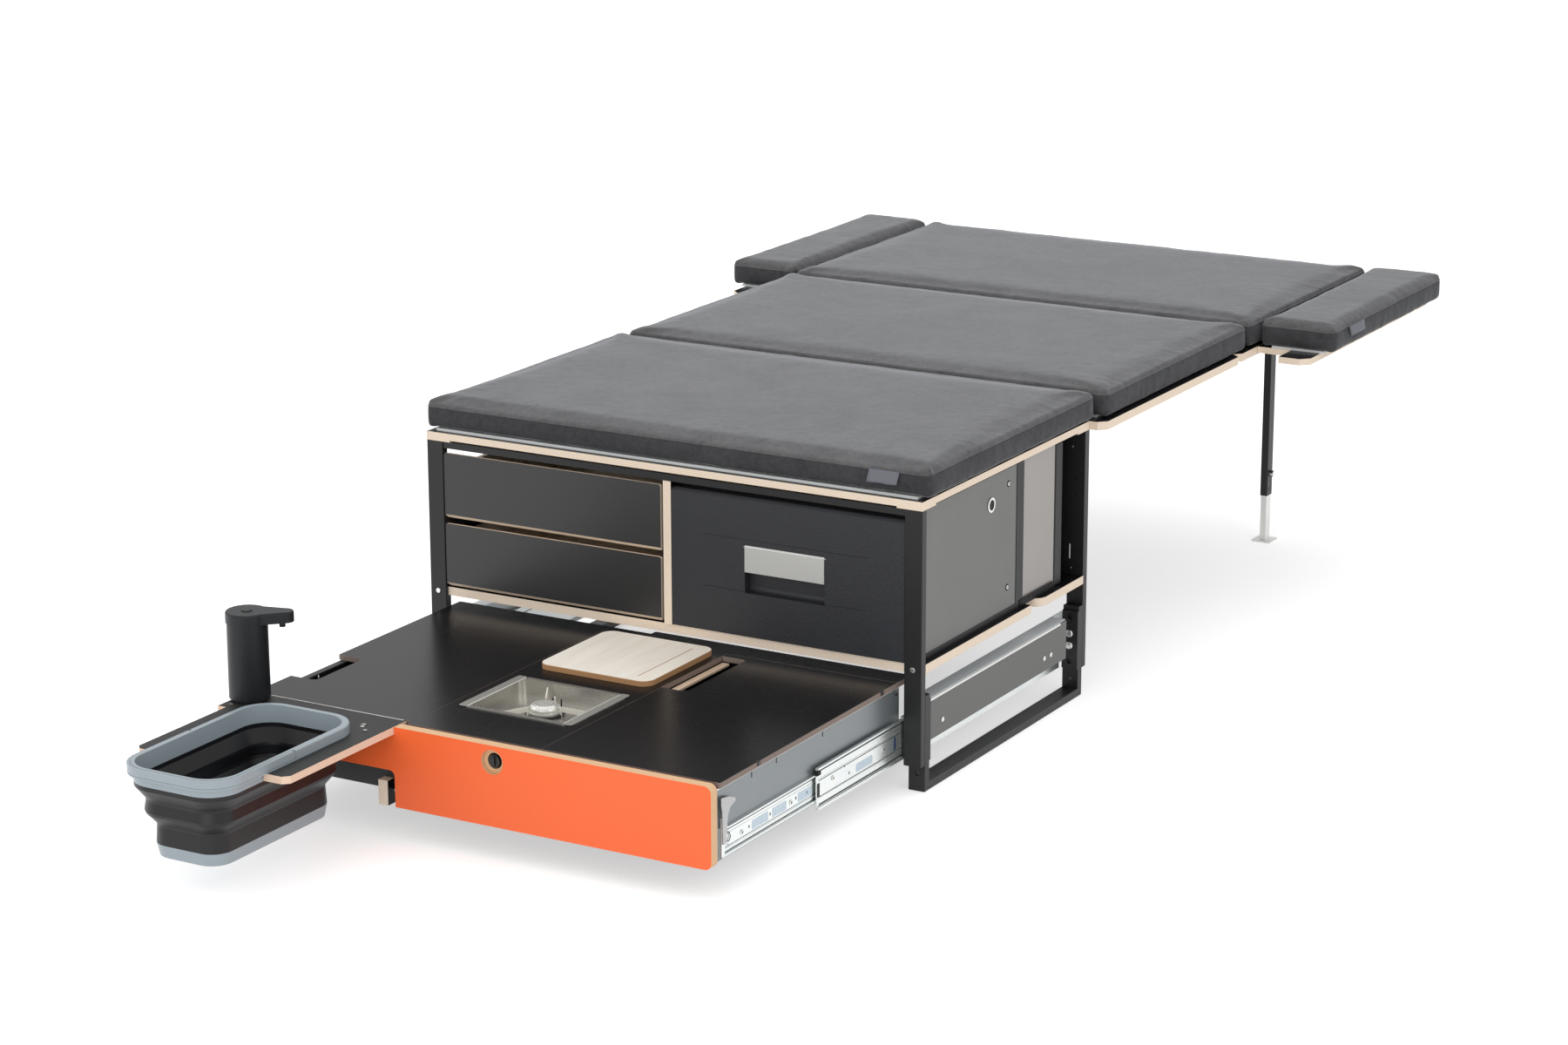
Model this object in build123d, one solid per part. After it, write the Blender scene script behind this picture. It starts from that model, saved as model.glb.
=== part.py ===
from build123d import *
import os

# A camping box for the back of a van: a steel frame with a pull-out kitchen, two drawers and a
# drawer fridge, and a bed that runs out behind it on cushioned boards. X runs across the box,
# Y runs from the kitchen to the head of the bed, Z is up, and the floor is at zero.

os.makedirs("parts", exist_ok=True)

# Frame
frame_width = 960.0
frame_depth = 620.0
frame_height = 478.0
post_width = 32.0
post_depth = 15.0
post_wall = 1.5
front_post_bottom = 46.0
rear_post_bottom = 50.0
rail_height = 12.0
rail_depth = 13.0
rail_ledge = 14.0
loop_width = 30.0
loop_bar = 15.0
loop_leg_height = 165.0
loop_hole_radius = 4.0
loop_hole_height = 30.0
plate_thickness = 4.0
plate_bottom = 51.0
plate_top = 157.0
plate_hole_radius = 5.0
plate_hole_heights = (64.0, 146.0)
bolt_radius = 7.0
bolt_head = 5.0
bolt_heights = (94.0, 116.0)
post_screw_radius = 4.5
post_screw_head = 1.5
edge_softening = 1.2

# Slide beams and telescopic slides
beam_bottom = 83.0
beam_top = 154.0
beam_inset = 6.0
beam_wall = 2.0
beam_cover = 3.0
beam_rear_gap = 75.0
rivet_radius = 4.5
rivet_head = 1.6
rivet_shares = (0.09, 0.83, 0.88)
rivet_drop = 12.0
slide_thickness = 13.0
slide_centre = 89.0
slide_end_gap = 40.0
slide_start = 8.0
slide_wall = 2.0
slide_play = 0.4
outer_member_height = 74.0
inner_member_height = 45.0
ball_track = 2.6
release_lever_height = 62.0
release_lever_width = 9.0
release_lever_thickness = 2.5

# Boards of the box
board_ply = 15.0
board_rear_play = 1.0
board_relief = 3.0
board_relief_depth = 12.0
board_corner_length = 46.0
shelf_bottom = 203.0
shelf_ply = 15.0
shelf_rear_gap = 220.0
shelf_front_setback = 6.0
shelf_gap = 35.0
rear_shelf_corner = 24.0
divider_ply = 15.0
divider_setback = 3.0
side_skin = 2.0
side_skin_inset = 12.0
side_skin_setback = 10.0
left_skin_gap = 62.0
rear_plate_width = 52.0
rear_plate_hole_radius = 3.0
rear_plate_hole_shares = (0.07, 0.173, 0.558, 0.665)
fit_gap = 0.5

# Kitchen drawer
panel_ply = 18.0
panel_bottom = 54.0
panel_overlap = 2.0
panel_corner = 12.0
panel_cut_inset = 35.0
panel_cut_gap = 1.0
panel_cut_top = 114.0
panel_cut_corner = 10.0
latch_offset = 75.0
latch_drop = 27.0
latch_recess_radius = 20.0
latch_recess_depth = 8.0
latch_hole_radius = 13.0
latch_knob_radius = 10.5
latch_knob_length = 13.0
latch_spindle_radius = 4.0
latch_grip_width = 5.0
latch_grip_height = 3.0
grip_share = 0.75
spindle_clearance = 0.06
tray_wall = 2.0
tray_floor = 76.0
tray_bottom = 62.0
tray_flange = 12.0
tray_slot_length = 3.0
tray_slot_height = 9.0
tray_slot_drop = 4.0
tray_slot_shares = (0.18, 0.31, 0.56, 0.97)
block_ply = 18.0
block_length = 60.0
block_height = 41.0
block_gap = 14.0

# Lids of the kitchen
lid_ply = 9.0
lid_top = 187.0
lid_seam = 1.0
lid_overhang = 4.0
left_seam_share = -0.3011
right_seam_share = 0.2736
lid_front_gap = 6.0
lid_rear_reach = 28.0
lift_line = -6.0
notch_width = 50.0
notch_shares = (0.1983, 0.4259)
notch_corner = 9.0
finger_radius = 11.0
knob_slot_width = 47.0
knob_slot_shares = (0.619, 0.95)
knob_slot_corner = 9.0

# Stove
stove_left_inset = 25.0
stove_right_inset = 25.0
stove_shares = (0.2172, 0.4966)
stove_depth = 24.0
stove_corner = 16.0
stove_wall = 1.5
stove_rim = 7.0
stove_rim_height = 1.5
burner_base_radius = 23.0
burner_base_height = 4.0
burner_head_radius = 26.5
burner_head_height = 3.0
burner_cap_radius = 25.0
burner_cap_height = 12.0
burner_hole_radius = 2.5
spark_radius = 1.6
spark_height = 22.0
spark_offset = 30.0
support_thickness = 2.0
support_height = 18.5
support_reach = 83.0
support_inner = 29.0
support_angles = (0, 120, 240)
support_tooth = 3.0
support_teeth = 12
gas_knob_radius = 14.0
gas_knob_height = 12.0
gas_knob_drop = 14.0
gas_knob_offset = 31.0
gas_knob_share = 0.6741
gas_valve_radius = 9.0

# Cutting board
cutting_ply = 9.0
cutting_left_inset = 20.0
cutting_right_inset = 16.0
cutting_shares = (0.5931, 0.9655)
cutting_corner = 22.0
cutting_groove = 2.0
cutting_groove_depth = 1.0
cutting_groove_inset = 34.0

# Folding shelf that carries the bucket
flap_ply = 12.0
flap_left_inset = 5.0
flap_bar_reach = 11.0
flap_seam_gap = 9.0
flap_hinge_setback = 18.0
flap_length = 312.0
flap_bar_length = 86.0
flap_corner = 10.0
hinge_radius = 1.6
hinge_gap = 0.3
hinge_knuckle = 56.0
hinge_knuckle_gap = 1.0
flap_screw_radius = 3.5
flap_screw_height = 0.6
flap_screw_offsets = ((-48.0, -49.0), (-44.0, -58.0), (-293.0, -68.0))

# Folding bucket
bucket_offset = 6.5
bucket_reach = 245.5
bucket_width = 204.0
bucket_length = 365.0
bucket_corner = 57.0
lip_height = 16.0
lip_overhang = 8.0
bucket_wall = 3.0
band_height = 13.0
bellows_height = 101.0
base_height = 20.0
bellows_level_shares = (0.0, 0.07, 0.27, 0.31, 0.47, 0.52, 0.68, 0.72, 1.0)
bellows_inset_shares = (0.0, 0.0, 0.5, 0.53, 0.44, 0.5, 0.97, 1.0, 0.94)
bellows_inset = 28.0
base_inset = 3.0
handle_thickness = 5.0
handle_height = 12.0
handle_clearance = 0.5
handle_pin_radius = 2.5

# Tap
tap_inset = 6.0
tap_reach = 30.5
tap_base_radius = 33.5
tap_top_radius = 33.0
tap_base_ring = 4.0
tap_base_inset = 5.0
tap_height = 147.0
tap_head_height = 18.0
tap_head_radius = 34.5
tap_spout_reach = 75.0
tap_spout_yaw = 30.0
tap_spout_radius = 14.0
tap_spout_taper_share = 0.45
tap_softening = 3.0
nozzle_radius = 5.0
nozzle_height = 9.0
nozzle_inset = 5.0
button_radius = 9.0
button_height = 4.0
button_proud = 1.5
button_floor_gap = 2.0

# Drawers
drawer_play = 1.0
divider_reveal = 4.5
drawer_front_ply = 15.0
drawer_front_y = 2.0
drawer_top_gap = 20.0
drawer_bottom_gap = 3.0
drawer_seam = 10.0
lower_front_share = 0.4934
drawer_bevel = 6.0
drawer_top_bevel = 10.5
drawer_corner = 3.0
drawer_depth = 350.0
drawer_box_drop = 34.0
drawer_wall = 9.0
drawer_side_gap = 12.0
drawer_lift = 8.0
runner_height = 30.0
runner_lift = 24.0

# Fridge
fridge_door_play = 1.5
fridge_door_drop = 21.0
fridge_door_lift = 1.0
fridge_door_front = 3.0
fridge_door_thickness = 32.0
fridge_bevel = 6.0
fridge_body_rear = 362.0
fridge_body_drop = 5.0
fridge_frame_depth = 28.0
fridge_wall = 14.0
fridge_floor = 18.0
fridge_bin_gap = 3.0
fridge_bin_wall = 3.0
fridge_bin_drop = 38.0
fridge_bin_depth = 290.0
fridge_handle_left = 149.5
fridge_handle_right = 299.0
fridge_handle_drop = 81.0
fridge_handle_height = 46.0
fridge_pin_radius = 1.5
fridge_pin_reach = 3.0
fridge_handle_thickness = 6.0
fridge_handle_proud = 1.5
fridge_grip_height = 36.0
fridge_grip_depth = 17.0
fridge_line_left = 71.0
fridge_line_right = 379.0
fridge_line_drops = (161.0, 72.0)
fridge_line_size = 1.0
fridge_latch_radius = 13.0
fridge_latch_depth = 3.0
fridge_latch_y = 267.0
fridge_latch_drop = 49.0
fridge_screw_radius = 6.0
fridge_screw_places = ((331.0, 27.0), (330.0, 207.0))
cooler_rear_gap = 106.0
cooler_inset = 26.0
cooler_side_step = 3.0
cooler_slot_width = 6.0
cooler_slot_count = 12
cooler_slot_depth = 4.0

# Bed
bed_shift = 12.0
middle_half_width = 497.0
middle_overlap = 2.0
middle_length = 594.0
head_half_width = 493.0
head_length = 643.0
bed_corner = 14.0
tongue_width = 40.0
tongue_thickness = 4.0
tongue_length = 90.0
tongue_offset = 260.0
sheet_thickness = 5.0
mattress_thickness = 42.0
mattress_crown = 4.0
mattress_round = 5.0
mattress_draw_in = 4.0
mattress_corner = 14.0
mattress_crown_share = 0.3
first_mattress_half_width = 490.0
first_mattress_front = 5.0
first_mattress_overhang = 10.0
mattress_half_width = 492.0
middle_mattress_setback = 18.0
middle_mattress_overhang = 45.0
mattress_gap = 7.0
sheet_inset = 8.0
wing_cushion_width = 152.0
wing_cushion_gap = 6.0
wing_setback = 76.0
wing_ply = 12.0
wing_gap = 0.8
wing_reach = 125.0
wing_board_setback = 9.0
wing_tab_reach = 52.0
wing_tab_start = 67.0
wing_corner = 16.0
wing_bar_width = 30.0
wing_bar_thickness = 7.0
wing_bar_reach = 100.0
wing_bar_shares = (0.25, 0.8)

# Legs of the bed
leg_offset = 357.0
leg_setback = 162.0
leg_width = 15.0
leg_depth = 25.0
leg_wall = 1.5
leg_bottom = 95.0
leg_pivot_drop = 24.0
leg_play = 0.1
leg_foot_wall = 1.5
leg_foot_top = 230.0
leg_foot_plate = 40.0
leg_foot_plate_thickness = 3.0
cross_tube_drop = 60.0
cross_tube_size = 20.0
bracket_thickness = 3.0
bracket_base = 70.0
bracket_ear = 38.0
bracket_side_gap = 0.2
pivot_radius = 4.0
lock_height = 140.0
lock_pin_radius = 3.0
lock_knob_radius = 6.5
lock_knob_length = 8.0
lock_hole_clearance = 0.06
lock_tip_gap = 0.1
leg_hole_radius = 3.5
leg_hole_drop = 24.0

overrun = 5.0

# Lines that several pieces share
half_frame = frame_width / 2
post_inside = half_frame - post_width
board_top = frame_height + board_ply
shelf_top = shelf_bottom + shelf_ply
shelf_rear = frame_depth - shelf_rear_gap
rear_shelf_front = shelf_rear + shelf_gap
side_skin_rear = shelf_rear - side_skin_setback
rear_plate_front = frame_depth - post_depth - side_skin

# Kitchen drawer, pulled right out on its slides
slide_length = frame_depth - slide_start - slide_end_gap
kitchen_pull = slide_length
kitchen_half_width = post_inside - slide_thickness
panel_back = -kitchen_pull
panel_front = panel_back - panel_ply
tray_top = lid_top - lid_ply
left_seam = left_seam_share * kitchen_half_width
right_seam = right_seam_share * kitchen_half_width
lid_front = panel_back + lid_front_gap


def along_kitchen(share):
    return panel_back + share * (slide_start - panel_back)


latch_x = right_seam - latch_offset
notch_front, notch_rear = [along_kitchen(share) for share in notch_shares]
knob_slot_front, knob_slot_rear = [along_kitchen(share) for share in knob_slot_shares]
stove_left, stove_right = left_seam + stove_left_inset, right_seam - stove_right_inset
stove_front, stove_rear = [along_kitchen(share) for share in stove_shares]
gas_knob_x, gas_knob_y = right_seam + gas_knob_offset, along_kitchen(gas_knob_share)
cutting_left, cutting_right = left_seam + cutting_left_inset, right_seam - cutting_right_inset
cutting_front, cutting_rear = [along_kitchen(share) for share in cutting_shares]
flap_left = flap_left_inset - kitchen_half_width
flap_right = left_seam - flap_seam_gap
flap_hinge = panel_back + flap_hinge_setback
flap_front = flap_hinge - flap_length
flap_bar_front = flap_hinge - flap_bar_length
flap_bar_left = -kitchen_half_width - flap_bar_reach
panel_cut_left = panel_cut_inset - kitchen_half_width
panel_cut_right = flap_right - panel_cut_gap
bucket_centre_x = (flap_left + flap_right) / 2 + bucket_offset
bucket_centre_y = flap_hinge - bucket_reach
tap_x, tap_y = flap_left + tap_inset, flap_hinge - tap_reach

# Drawers and fridge
drawer_left = drawer_play - post_inside
drawer_right = -divider_ply / 2 - divider_reveal
upper_front_top = frame_height - drawer_top_gap
lower_front_bottom = shelf_top + drawer_bottom_gap
lower_front_height = lower_front_share * (upper_front_top - lower_front_bottom - drawer_seam)
lower_front_top = lower_front_bottom + lower_front_height
upper_front_bottom = lower_front_top + drawer_seam
drawer_box_height = lower_front_height - drawer_box_drop
fridge_door_right = post_inside - fridge_door_play
fridge_door_top = frame_height - fridge_door_drop
fridge_body_top = frame_height - fridge_body_drop
fridge_handle_top = fridge_door_top - fridge_handle_drop
fridge_handle_bottom = fridge_handle_top - fridge_handle_height
fridge_grip_bottom = fridge_handle_bottom - fridge_grip_height
cooler_rear = frame_depth - cooler_rear_gap

# Bed
bed_deck = board_top + sheet_thickness
middle_front = frame_depth - middle_overlap
middle_rear = middle_front + middle_length
head_rear = middle_rear + head_length
first_mattress_rear = frame_depth + first_mattress_overhang
middle_mattress_front = middle_front + middle_mattress_setback
middle_mattress_rear = middle_rear + middle_mattress_overhang
head_mattress_front = middle_mattress_rear + mattress_gap
head_mattress_rear = head_rear + mattress_gap
wing_front = middle_rear + wing_setback
wing_board_front = wing_front + wing_board_setback
wing_tab_front = wing_front - wing_tab_reach
leg_y = head_rear - leg_setback
left_outside = bed_shift - mattress_half_width - wing_cushion_gap - wing_cushion_width
right_outside = bed_shift + mattress_half_width + wing_cushion_gap + wing_cushion_width
bucket_front = bucket_centre_y - bucket_length / 2
origin_x = (left_outside + right_outside) / 2
origin_y = (bucket_front + head_mattress_rear) / 2


def block(x0, x1, y0, y1, z0, z1):
    place = Pos((x0 + x1) / 2, (y0 + y1) / 2, (z0 + z1) / 2)
    return place * Box(abs(x1 - x0), abs(y1 - y0), abs(z1 - z0))


def slab(x0, x1, y0, y1, z0, z1, corner):
    return fillet(block(x0, x1, y0, y1, z0, z1).edges().filter_by(Axis.Z), corner)


def rod(start, direction, length, radius):
    place = Plane(origin=start, z_dir=direction)
    return place * Cylinder(radius, length, align=(Align.CENTER, Align.CENTER, Align.MIN))


def both(piece, middle=0.0):
    return [piece, mirror(piece, about=Plane(origin=(middle, 0, 0), z_dir=(1, 0, 0)))]


def soften(piece, size):
    return fillet(piece.edges(), size)


def save(name, *pieces):
    solids = [solid for piece in pieces for solid in piece.solids()]
    export_step(Pos(-origin_x, -origin_y, 0) * Compound(solids), f"parts/{name}.step")


def tube(x0, x1, y0, y1, z0, z1, wall):
    outside = fillet(block(x0, x1, y0, y1, z0, z1).edges().filter_by(Axis.Z), edge_softening)
    inside = block(x0 + wall, x1 - wall, y0 + wall, y1 - wall, z0 - overrun, z1 + overrun)
    return outside - inside


def make_posts():
    inner = half_frame - post_width
    front = tube(inner, half_frame, 0, post_depth, front_post_bottom, frame_height, post_wall)
    rear = tube(inner, half_frame, frame_depth - post_depth, frame_depth,
                rear_post_bottom, frame_height, post_wall)
    save("front_posts", *both(front))
    save("rear_posts", *both(rear))


def make_top_rails():
    inner = half_frame - post_width
    bottom = frame_height - rail_height
    front = block(-inner, inner, post_depth - rail_depth, post_depth, bottom, frame_height)
    rear_start = frame_depth - post_depth
    rear = block(-inner, inner, rear_start, frame_depth + rail_ledge, bottom, frame_height)
    save("top_rails", soften(front, edge_softening / 2), soften(rear, edge_softening / 2))


def foot_loop():
    inner = half_frame - loop_width
    y0 = post_depth
    y1 = frame_depth - post_depth
    rail = block(inner, half_frame, y0, y1, 0, loop_bar)
    front = block(inner, half_frame, y0, y0 + loop_bar, 0, loop_leg_height)
    rear = block(inner, half_frame, y1 - loop_bar, y1, 0, loop_leg_height)
    loop = rail + front + rear
    loop = fillet(loop.edges().filter_by(Axis.Y), edge_softening)
    middle = half_frame - loop_width / 2
    for y in (y0, y1 - loop_bar):
        loop -= rod((middle, y - overrun, loop_hole_height), (0, 1, 0), loop_bar + 2 * overrun,
                    loop_hole_radius)
    return loop


def beam_bracket(y):
    inner = half_frame - loop_width
    middle = half_frame - loop_width / 2
    plate = block(inner, half_frame, y, y + plate_thickness, plate_bottom, plate_top)
    for height in plate_hole_heights:
        plate -= rod((middle, y - overrun, height), (0, 1, 0), plate_thickness + 2 * overrun,
                     plate_hole_radius)
    return plate


def make_feet():
    front_plate = post_depth + loop_bar
    rear_plate = frame_depth - post_depth - loop_bar - plate_thickness
    middle = half_frame - loop_width / 2
    save("foot_loops", *both(foot_loop()))
    save("beam_brackets", *both(beam_bracket(front_plate)), *both(beam_bracket(rear_plate)))
    heads = []
    for height in bolt_heights:
        head = rod((middle, rear_plate, height), (0, -1, 0), bolt_head, bolt_radius)
        heads += both(fillet(head.edges().sort_by(Axis.Y)[0], bolt_head / 2))
    shelf_middle = shelf_bottom + shelf_ply / 2
    screw = rod((half_frame - post_width / 2, 0, shelf_middle), (0, -1, 0), post_screw_head,
                post_screw_radius)
    heads += both(fillet(screw.edges().sort_by(Axis.Y)[0], post_screw_head / 2))
    save("frame_bolts", *heads)


def make_beams():
    y0 = post_depth + loop_bar + plate_thickness
    y1 = frame_depth - beam_rear_gap
    skin = half_frame - beam_inset
    cover_inside = skin + beam_cover - beam_wall - fit_gap
    channel = block(post_inside, cover_inside, y0, y1, beam_bottom, beam_top)
    channel -= block(post_inside + beam_wall, cover_inside + overrun, y0 - overrun, y1 + overrun,
                     beam_bottom + beam_wall, beam_top - beam_wall)
    channel += block(post_inside, post_inside + beam_wall, y0, frame_depth - y0, beam_bottom, beam_top)
    cover = block(cover_inside, cover_inside + beam_cover, y0, y1, beam_bottom, beam_top - beam_wall)
    rivets = []
    for share in rivet_shares:
        y = y0 + share * (y1 - y0)
        height = (beam_bottom + beam_top) / 2 - rivet_drop
        head = rod((cover_inside + beam_cover, y, height), (1, 0, 0), rivet_head, rivet_radius)
        rivets += both(fillet(head.edges().sort_by(Axis.X)[-1], rivet_head / 2))
    save("slide_beams", *both(channel))
    save("beam_covers", *both(cover), *rivets)


def outer_member():
    half = outer_member_height / 2
    back = post_inside
    tip = kitchen_half_width + 2 * slide_wall
    y0 = slide_start
    y1 = slide_start + slide_length
    whole = block(tip, back, y0, y1, slide_centre - half, slide_centre + half)
    return whole - block(tip - overrun, back - slide_wall, y0 - overrun, y1 + overrun,
                         slide_centre - half + slide_wall, slide_centre + half - slide_wall)


def middle_member(y0):
    y1 = y0 + slide_length
    web_back = post_inside - 2 * slide_wall - slide_play - ball_track / 2
    web_front = web_back - slide_wall
    half = outer_member_height / 2 - slide_wall - slide_play
    web = block(web_front, web_back, y0, y1, slide_centre - half, slide_centre + half)
    lip_end = post_inside - slide_wall - slide_play
    track_end = kitchen_half_width + slide_wall + ball_track / 2
    lips = []
    for side in (-1, 1):
        edge = slide_centre + side * half
        lips.append(block(web_front, lip_end, y0, y1, edge, edge - side * slide_wall))
        rail = slide_centre + side * (inner_member_height / 2 + slide_play)
        lips.append(block(track_end, web_back, y0, y1, rail, rail + side * slide_wall))
    return web + lips


def inner_member(y0):
    y1 = y0 + slide_length
    half = inner_member_height / 2
    web_front = post_inside - 3 * slide_wall - slide_play - ball_track / 2
    tip = web_front - slide_play
    whole = block(kitchen_half_width, tip, y0, y1, slide_centre - half, slide_centre + half)
    return whole - block(kitchen_half_width + slide_wall, tip + overrun, y0 - overrun, y1 + overrun,
                         slide_centre - half + slide_wall, slide_centre + half - slide_wall)


def release_lever():
    x0 = kitchen_half_width + slide_wall
    y0 = slide_start - kitchen_pull
    z0 = slide_centre - inner_member_height / 2 + slide_wall
    lever = block(x0, x0 + release_lever_thickness, y0, y0 + release_lever_width,
                  z0, z0 + release_lever_height)
    half_web = inner_member_height / 2
    tab = block(kitchen_half_width, x0 + release_lever_thickness, y0, y0 + 2 * release_lever_width,
                slide_centre + half_web, slide_centre + half_web + slide_wall)
    return lever + tab


def make_slides():
    save("slide_outer_members", *both(outer_member()))
    save("slide_middle_members", *both(middle_member(slide_start - kitchen_pull / 2)))
    lever = release_lever() - inner_member(slide_start - kitchen_pull)
    save("slide_inner_members", *both(inner_member(slide_start - kitchen_pull)), *both(lever))


def make_top_board():
    rear = frame_depth - (rail_ledge - board_rear_play) / 4
    top = block(-half_frame, half_frame, 0, rear, frame_height, board_top)
    start = half_frame - board_corner_length
    relief = Polyline((-start, -overrun), (-start + board_relief, board_relief_depth),
                      (start - board_relief, board_relief_depth), (start, -overrun), close=True)
    cut = extrude(Pos(0, 0, frame_height - overrun) * make_face(relief), overrun + board_relief)
    side_cut = block(half_frame - board_relief_depth, half_frame + overrun, board_corner_length,
                     frame_depth - board_corner_length, frame_height - overrun, frame_height + board_relief)
    top -= cut
    for piece in both(side_cut):
        top -= piece
    save("top_board", top)


def make_shelves():
    inner = half_frame - post_width - fit_gap
    front = block(-inner, inner, shelf_front_setback, post_depth + fit_gap, shelf_bottom, shelf_top)
    body = block(-half_frame, half_frame, post_depth, shelf_rear, shelf_bottom, shelf_top)
    rear = slab(-half_frame, half_frame, rear_shelf_front, frame_depth - post_depth,
                shelf_bottom, shelf_top, rear_shelf_corner)
    rear += block(-half_frame, half_frame, frame_depth - 2 * rear_shelf_corner - post_depth,
                  frame_depth - post_depth, shelf_bottom, shelf_top)
    save("shelf_board", front + body)
    save("rear_shelf_board", rear)
    half = divider_ply / 2
    save("divider_board", block(-half, half, divider_setback, shelf_rear,
                                shelf_top, frame_height - rail_height))


def make_side_panels():
    outside = half_frame - side_skin_inset
    skin = block(-outside, -outside + side_skin, post_depth, side_skin_rear,
                 shelf_top, frame_height - left_skin_gap)
    plate = block(half_frame - rear_plate_width, half_frame, rear_plate_front, frame_depth - post_depth,
                  shelf_top, frame_height)
    middle = half_frame - post_width / 2
    for share in rear_plate_hole_shares:
        height = shelf_top + share * (frame_height - shelf_top)
        plate -= rod((middle, rear_plate_front - overrun, height), (0, 1, 0),
                     side_skin + 2 * overrun, rear_plate_hole_radius)
    save("side_panels", skin, *both(plate))


def make_kitchen_front():
    left = fit_gap - kitchen_half_width - lid_overhang
    right = kitchen_half_width + panel_overlap
    panel = block(left, right, panel_front, panel_back, panel_bottom, lid_top)
    corners = panel.edges().filter_by(Axis.Y).group_by(Axis.X)[-1]
    panel = fillet(corners, panel_corner)
    panel -= block(left - overrun, flap_right + fit_gap, panel_front - overrun, panel_back + overrun,
                   lid_top - flap_ply - fit_gap, lid_top + overrun)
    cut = block(panel_cut_left, panel_cut_right, panel_front - overrun, panel_back + overrun,
                panel_bottom - 4 * overrun, panel_cut_top)
    panel -= fillet(cut.edges().filter_by(Axis.Y).group_by(Axis.Z)[-1], panel_cut_corner)
    latch_z = lid_top - latch_drop
    panel -= rod((latch_x, panel_front - overrun, latch_z), (0, 1, 0), overrun + latch_recess_depth,
                 latch_recess_radius)
    panel -= rod((latch_x, panel_front, latch_z), (0, 1, 0), panel_ply + overrun, latch_hole_radius)
    block_right = panel_cut_right - block_gap
    partition = block(block_right - block_ply, block_right, panel_front, panel_front + block_length,
                      panel_bottom, panel_bottom + block_height)
    tray = block(-kitchen_half_width, kitchen_half_width, panel_back, slide_start, tray_bottom, lid_top)
    save("kitchen_front", panel, partition - tray)


def tray_shell():
    half = kitchen_half_width
    y0 = panel_back
    y1 = slide_start
    shell = block(-half, half, y0, y1, tray_floor, tray_top)
    shell += block(-half, half, y0 + tray_wall, y1, tray_bottom, tray_floor)
    shell -= block(-half + tray_wall, half - tray_wall, y0 - overrun, y1 + overrun,
                   tray_bottom - overrun, tray_floor)
    shell -= block(-half + tray_wall, half - tray_wall, y0 + tray_wall, y1 - tray_wall,
                   tray_floor + tray_wall, tray_top - tray_wall)
    return shell - block(-half + tray_flange, half - tray_flange, y0 + tray_flange, y1 - tray_flange,
                         tray_top - 2 * tray_wall, tray_top + overrun)


def make_kitchen_tray():
    tray = tray_shell()
    latch_z = lid_top - latch_drop
    tray -= rod((latch_x, panel_back - overrun, latch_z), (0, 1, 0), tray_wall + 2 * overrun,
                latch_spindle_radius + spindle_clearance)
    tray -= block(-kitchen_half_width - overrun, flap_right + fit_gap, panel_back - overrun,
                  flap_hinge + hinge_radius, lid_top - flap_ply - fit_gap, tray_top + overrun)
    top = tray_top - tray_slot_drop
    for share in tray_slot_shares:
        y = panel_back + share * (slide_start - panel_back)
        tray -= block(-half_frame, half_frame, y, y + tray_slot_length, top - tray_slot_height, top)
    valve = rod((gas_knob_x, gas_knob_y, tray_floor + tray_wall), (0, 0, 1),
                lid_top - gas_knob_drop - gas_knob_height - tray_floor - tray_wall, gas_valve_radius)
    save("kitchen_tray", tray, valve)


def make_latch_knob():
    start = panel_front + latch_recess_depth / 4
    height = lid_top - latch_drop
    knob = rod((latch_x, start + latch_grip_height, height), (0, 1, 0), latch_knob_length, latch_knob_radius)
    knob = fillet(knob.edges().sort_by(Axis.Y)[0], edge_softening)
    reach = latch_knob_radius * grip_share
    knob += block(latch_x - latch_grip_width / 2, latch_x + latch_grip_width / 2,
                  start, start + 2 * latch_grip_height, height - reach, height + reach)
    knob += rod((latch_x, start + latch_grip_height, height), (0, 1, 0),
                panel_ply + 2 * latch_spindle_radius, latch_spindle_radius)
    save("latch_knob", knob)


def lid_plate(x0, x1, y0, y1):
    return block(x0, x1, y0, y1, tray_top, lid_top)


def make_lids():
    outside = kitchen_half_width + lid_overhang
    left = lid_plate(-outside, left_seam - lid_seam / 2, flap_hinge + hinge_radius, lid_rear_reach)
    left += lid_plate(flap_right + lid_seam, left_seam - lid_seam / 2, lid_front,
                      flap_hinge + 2 * hinge_radius)
    notch = slab(-outside - notch_corner * 2, -outside + notch_width, notch_front, notch_rear,
                 tray_top - overrun, lid_top + overrun, notch_corner)
    left -= notch
    left -= rod((left_seam - finger_radius / 2, lid_front, tray_top - overrun), (0, 0, 1),
                lid_ply + 2 * overrun, finger_radius)
    centre = lid_plate(left_seam + lid_seam / 2, right_seam - lid_seam / 2, lid_front, lid_rear_reach)
    centre += lid_plate(right_seam - lid_seam, outside, lift_line, lid_rear_reach)
    centre -= slab(stove_left, stove_right, stove_front, stove_rear, tray_top - overrun, lid_top + overrun,
                   stove_corner)
    right = lid_plate(right_seam + lid_seam / 2, outside, lid_front, lift_line - lid_seam)
    right -= slab(right_seam - knob_slot_corner * 2, right_seam + knob_slot_width,
                  knob_slot_front, knob_slot_rear, tray_top - overrun, lid_top + overrun, knob_slot_corner)
    save("left_lid", left)
    save("centre_lid", centre)
    save("right_lid", right)


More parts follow.
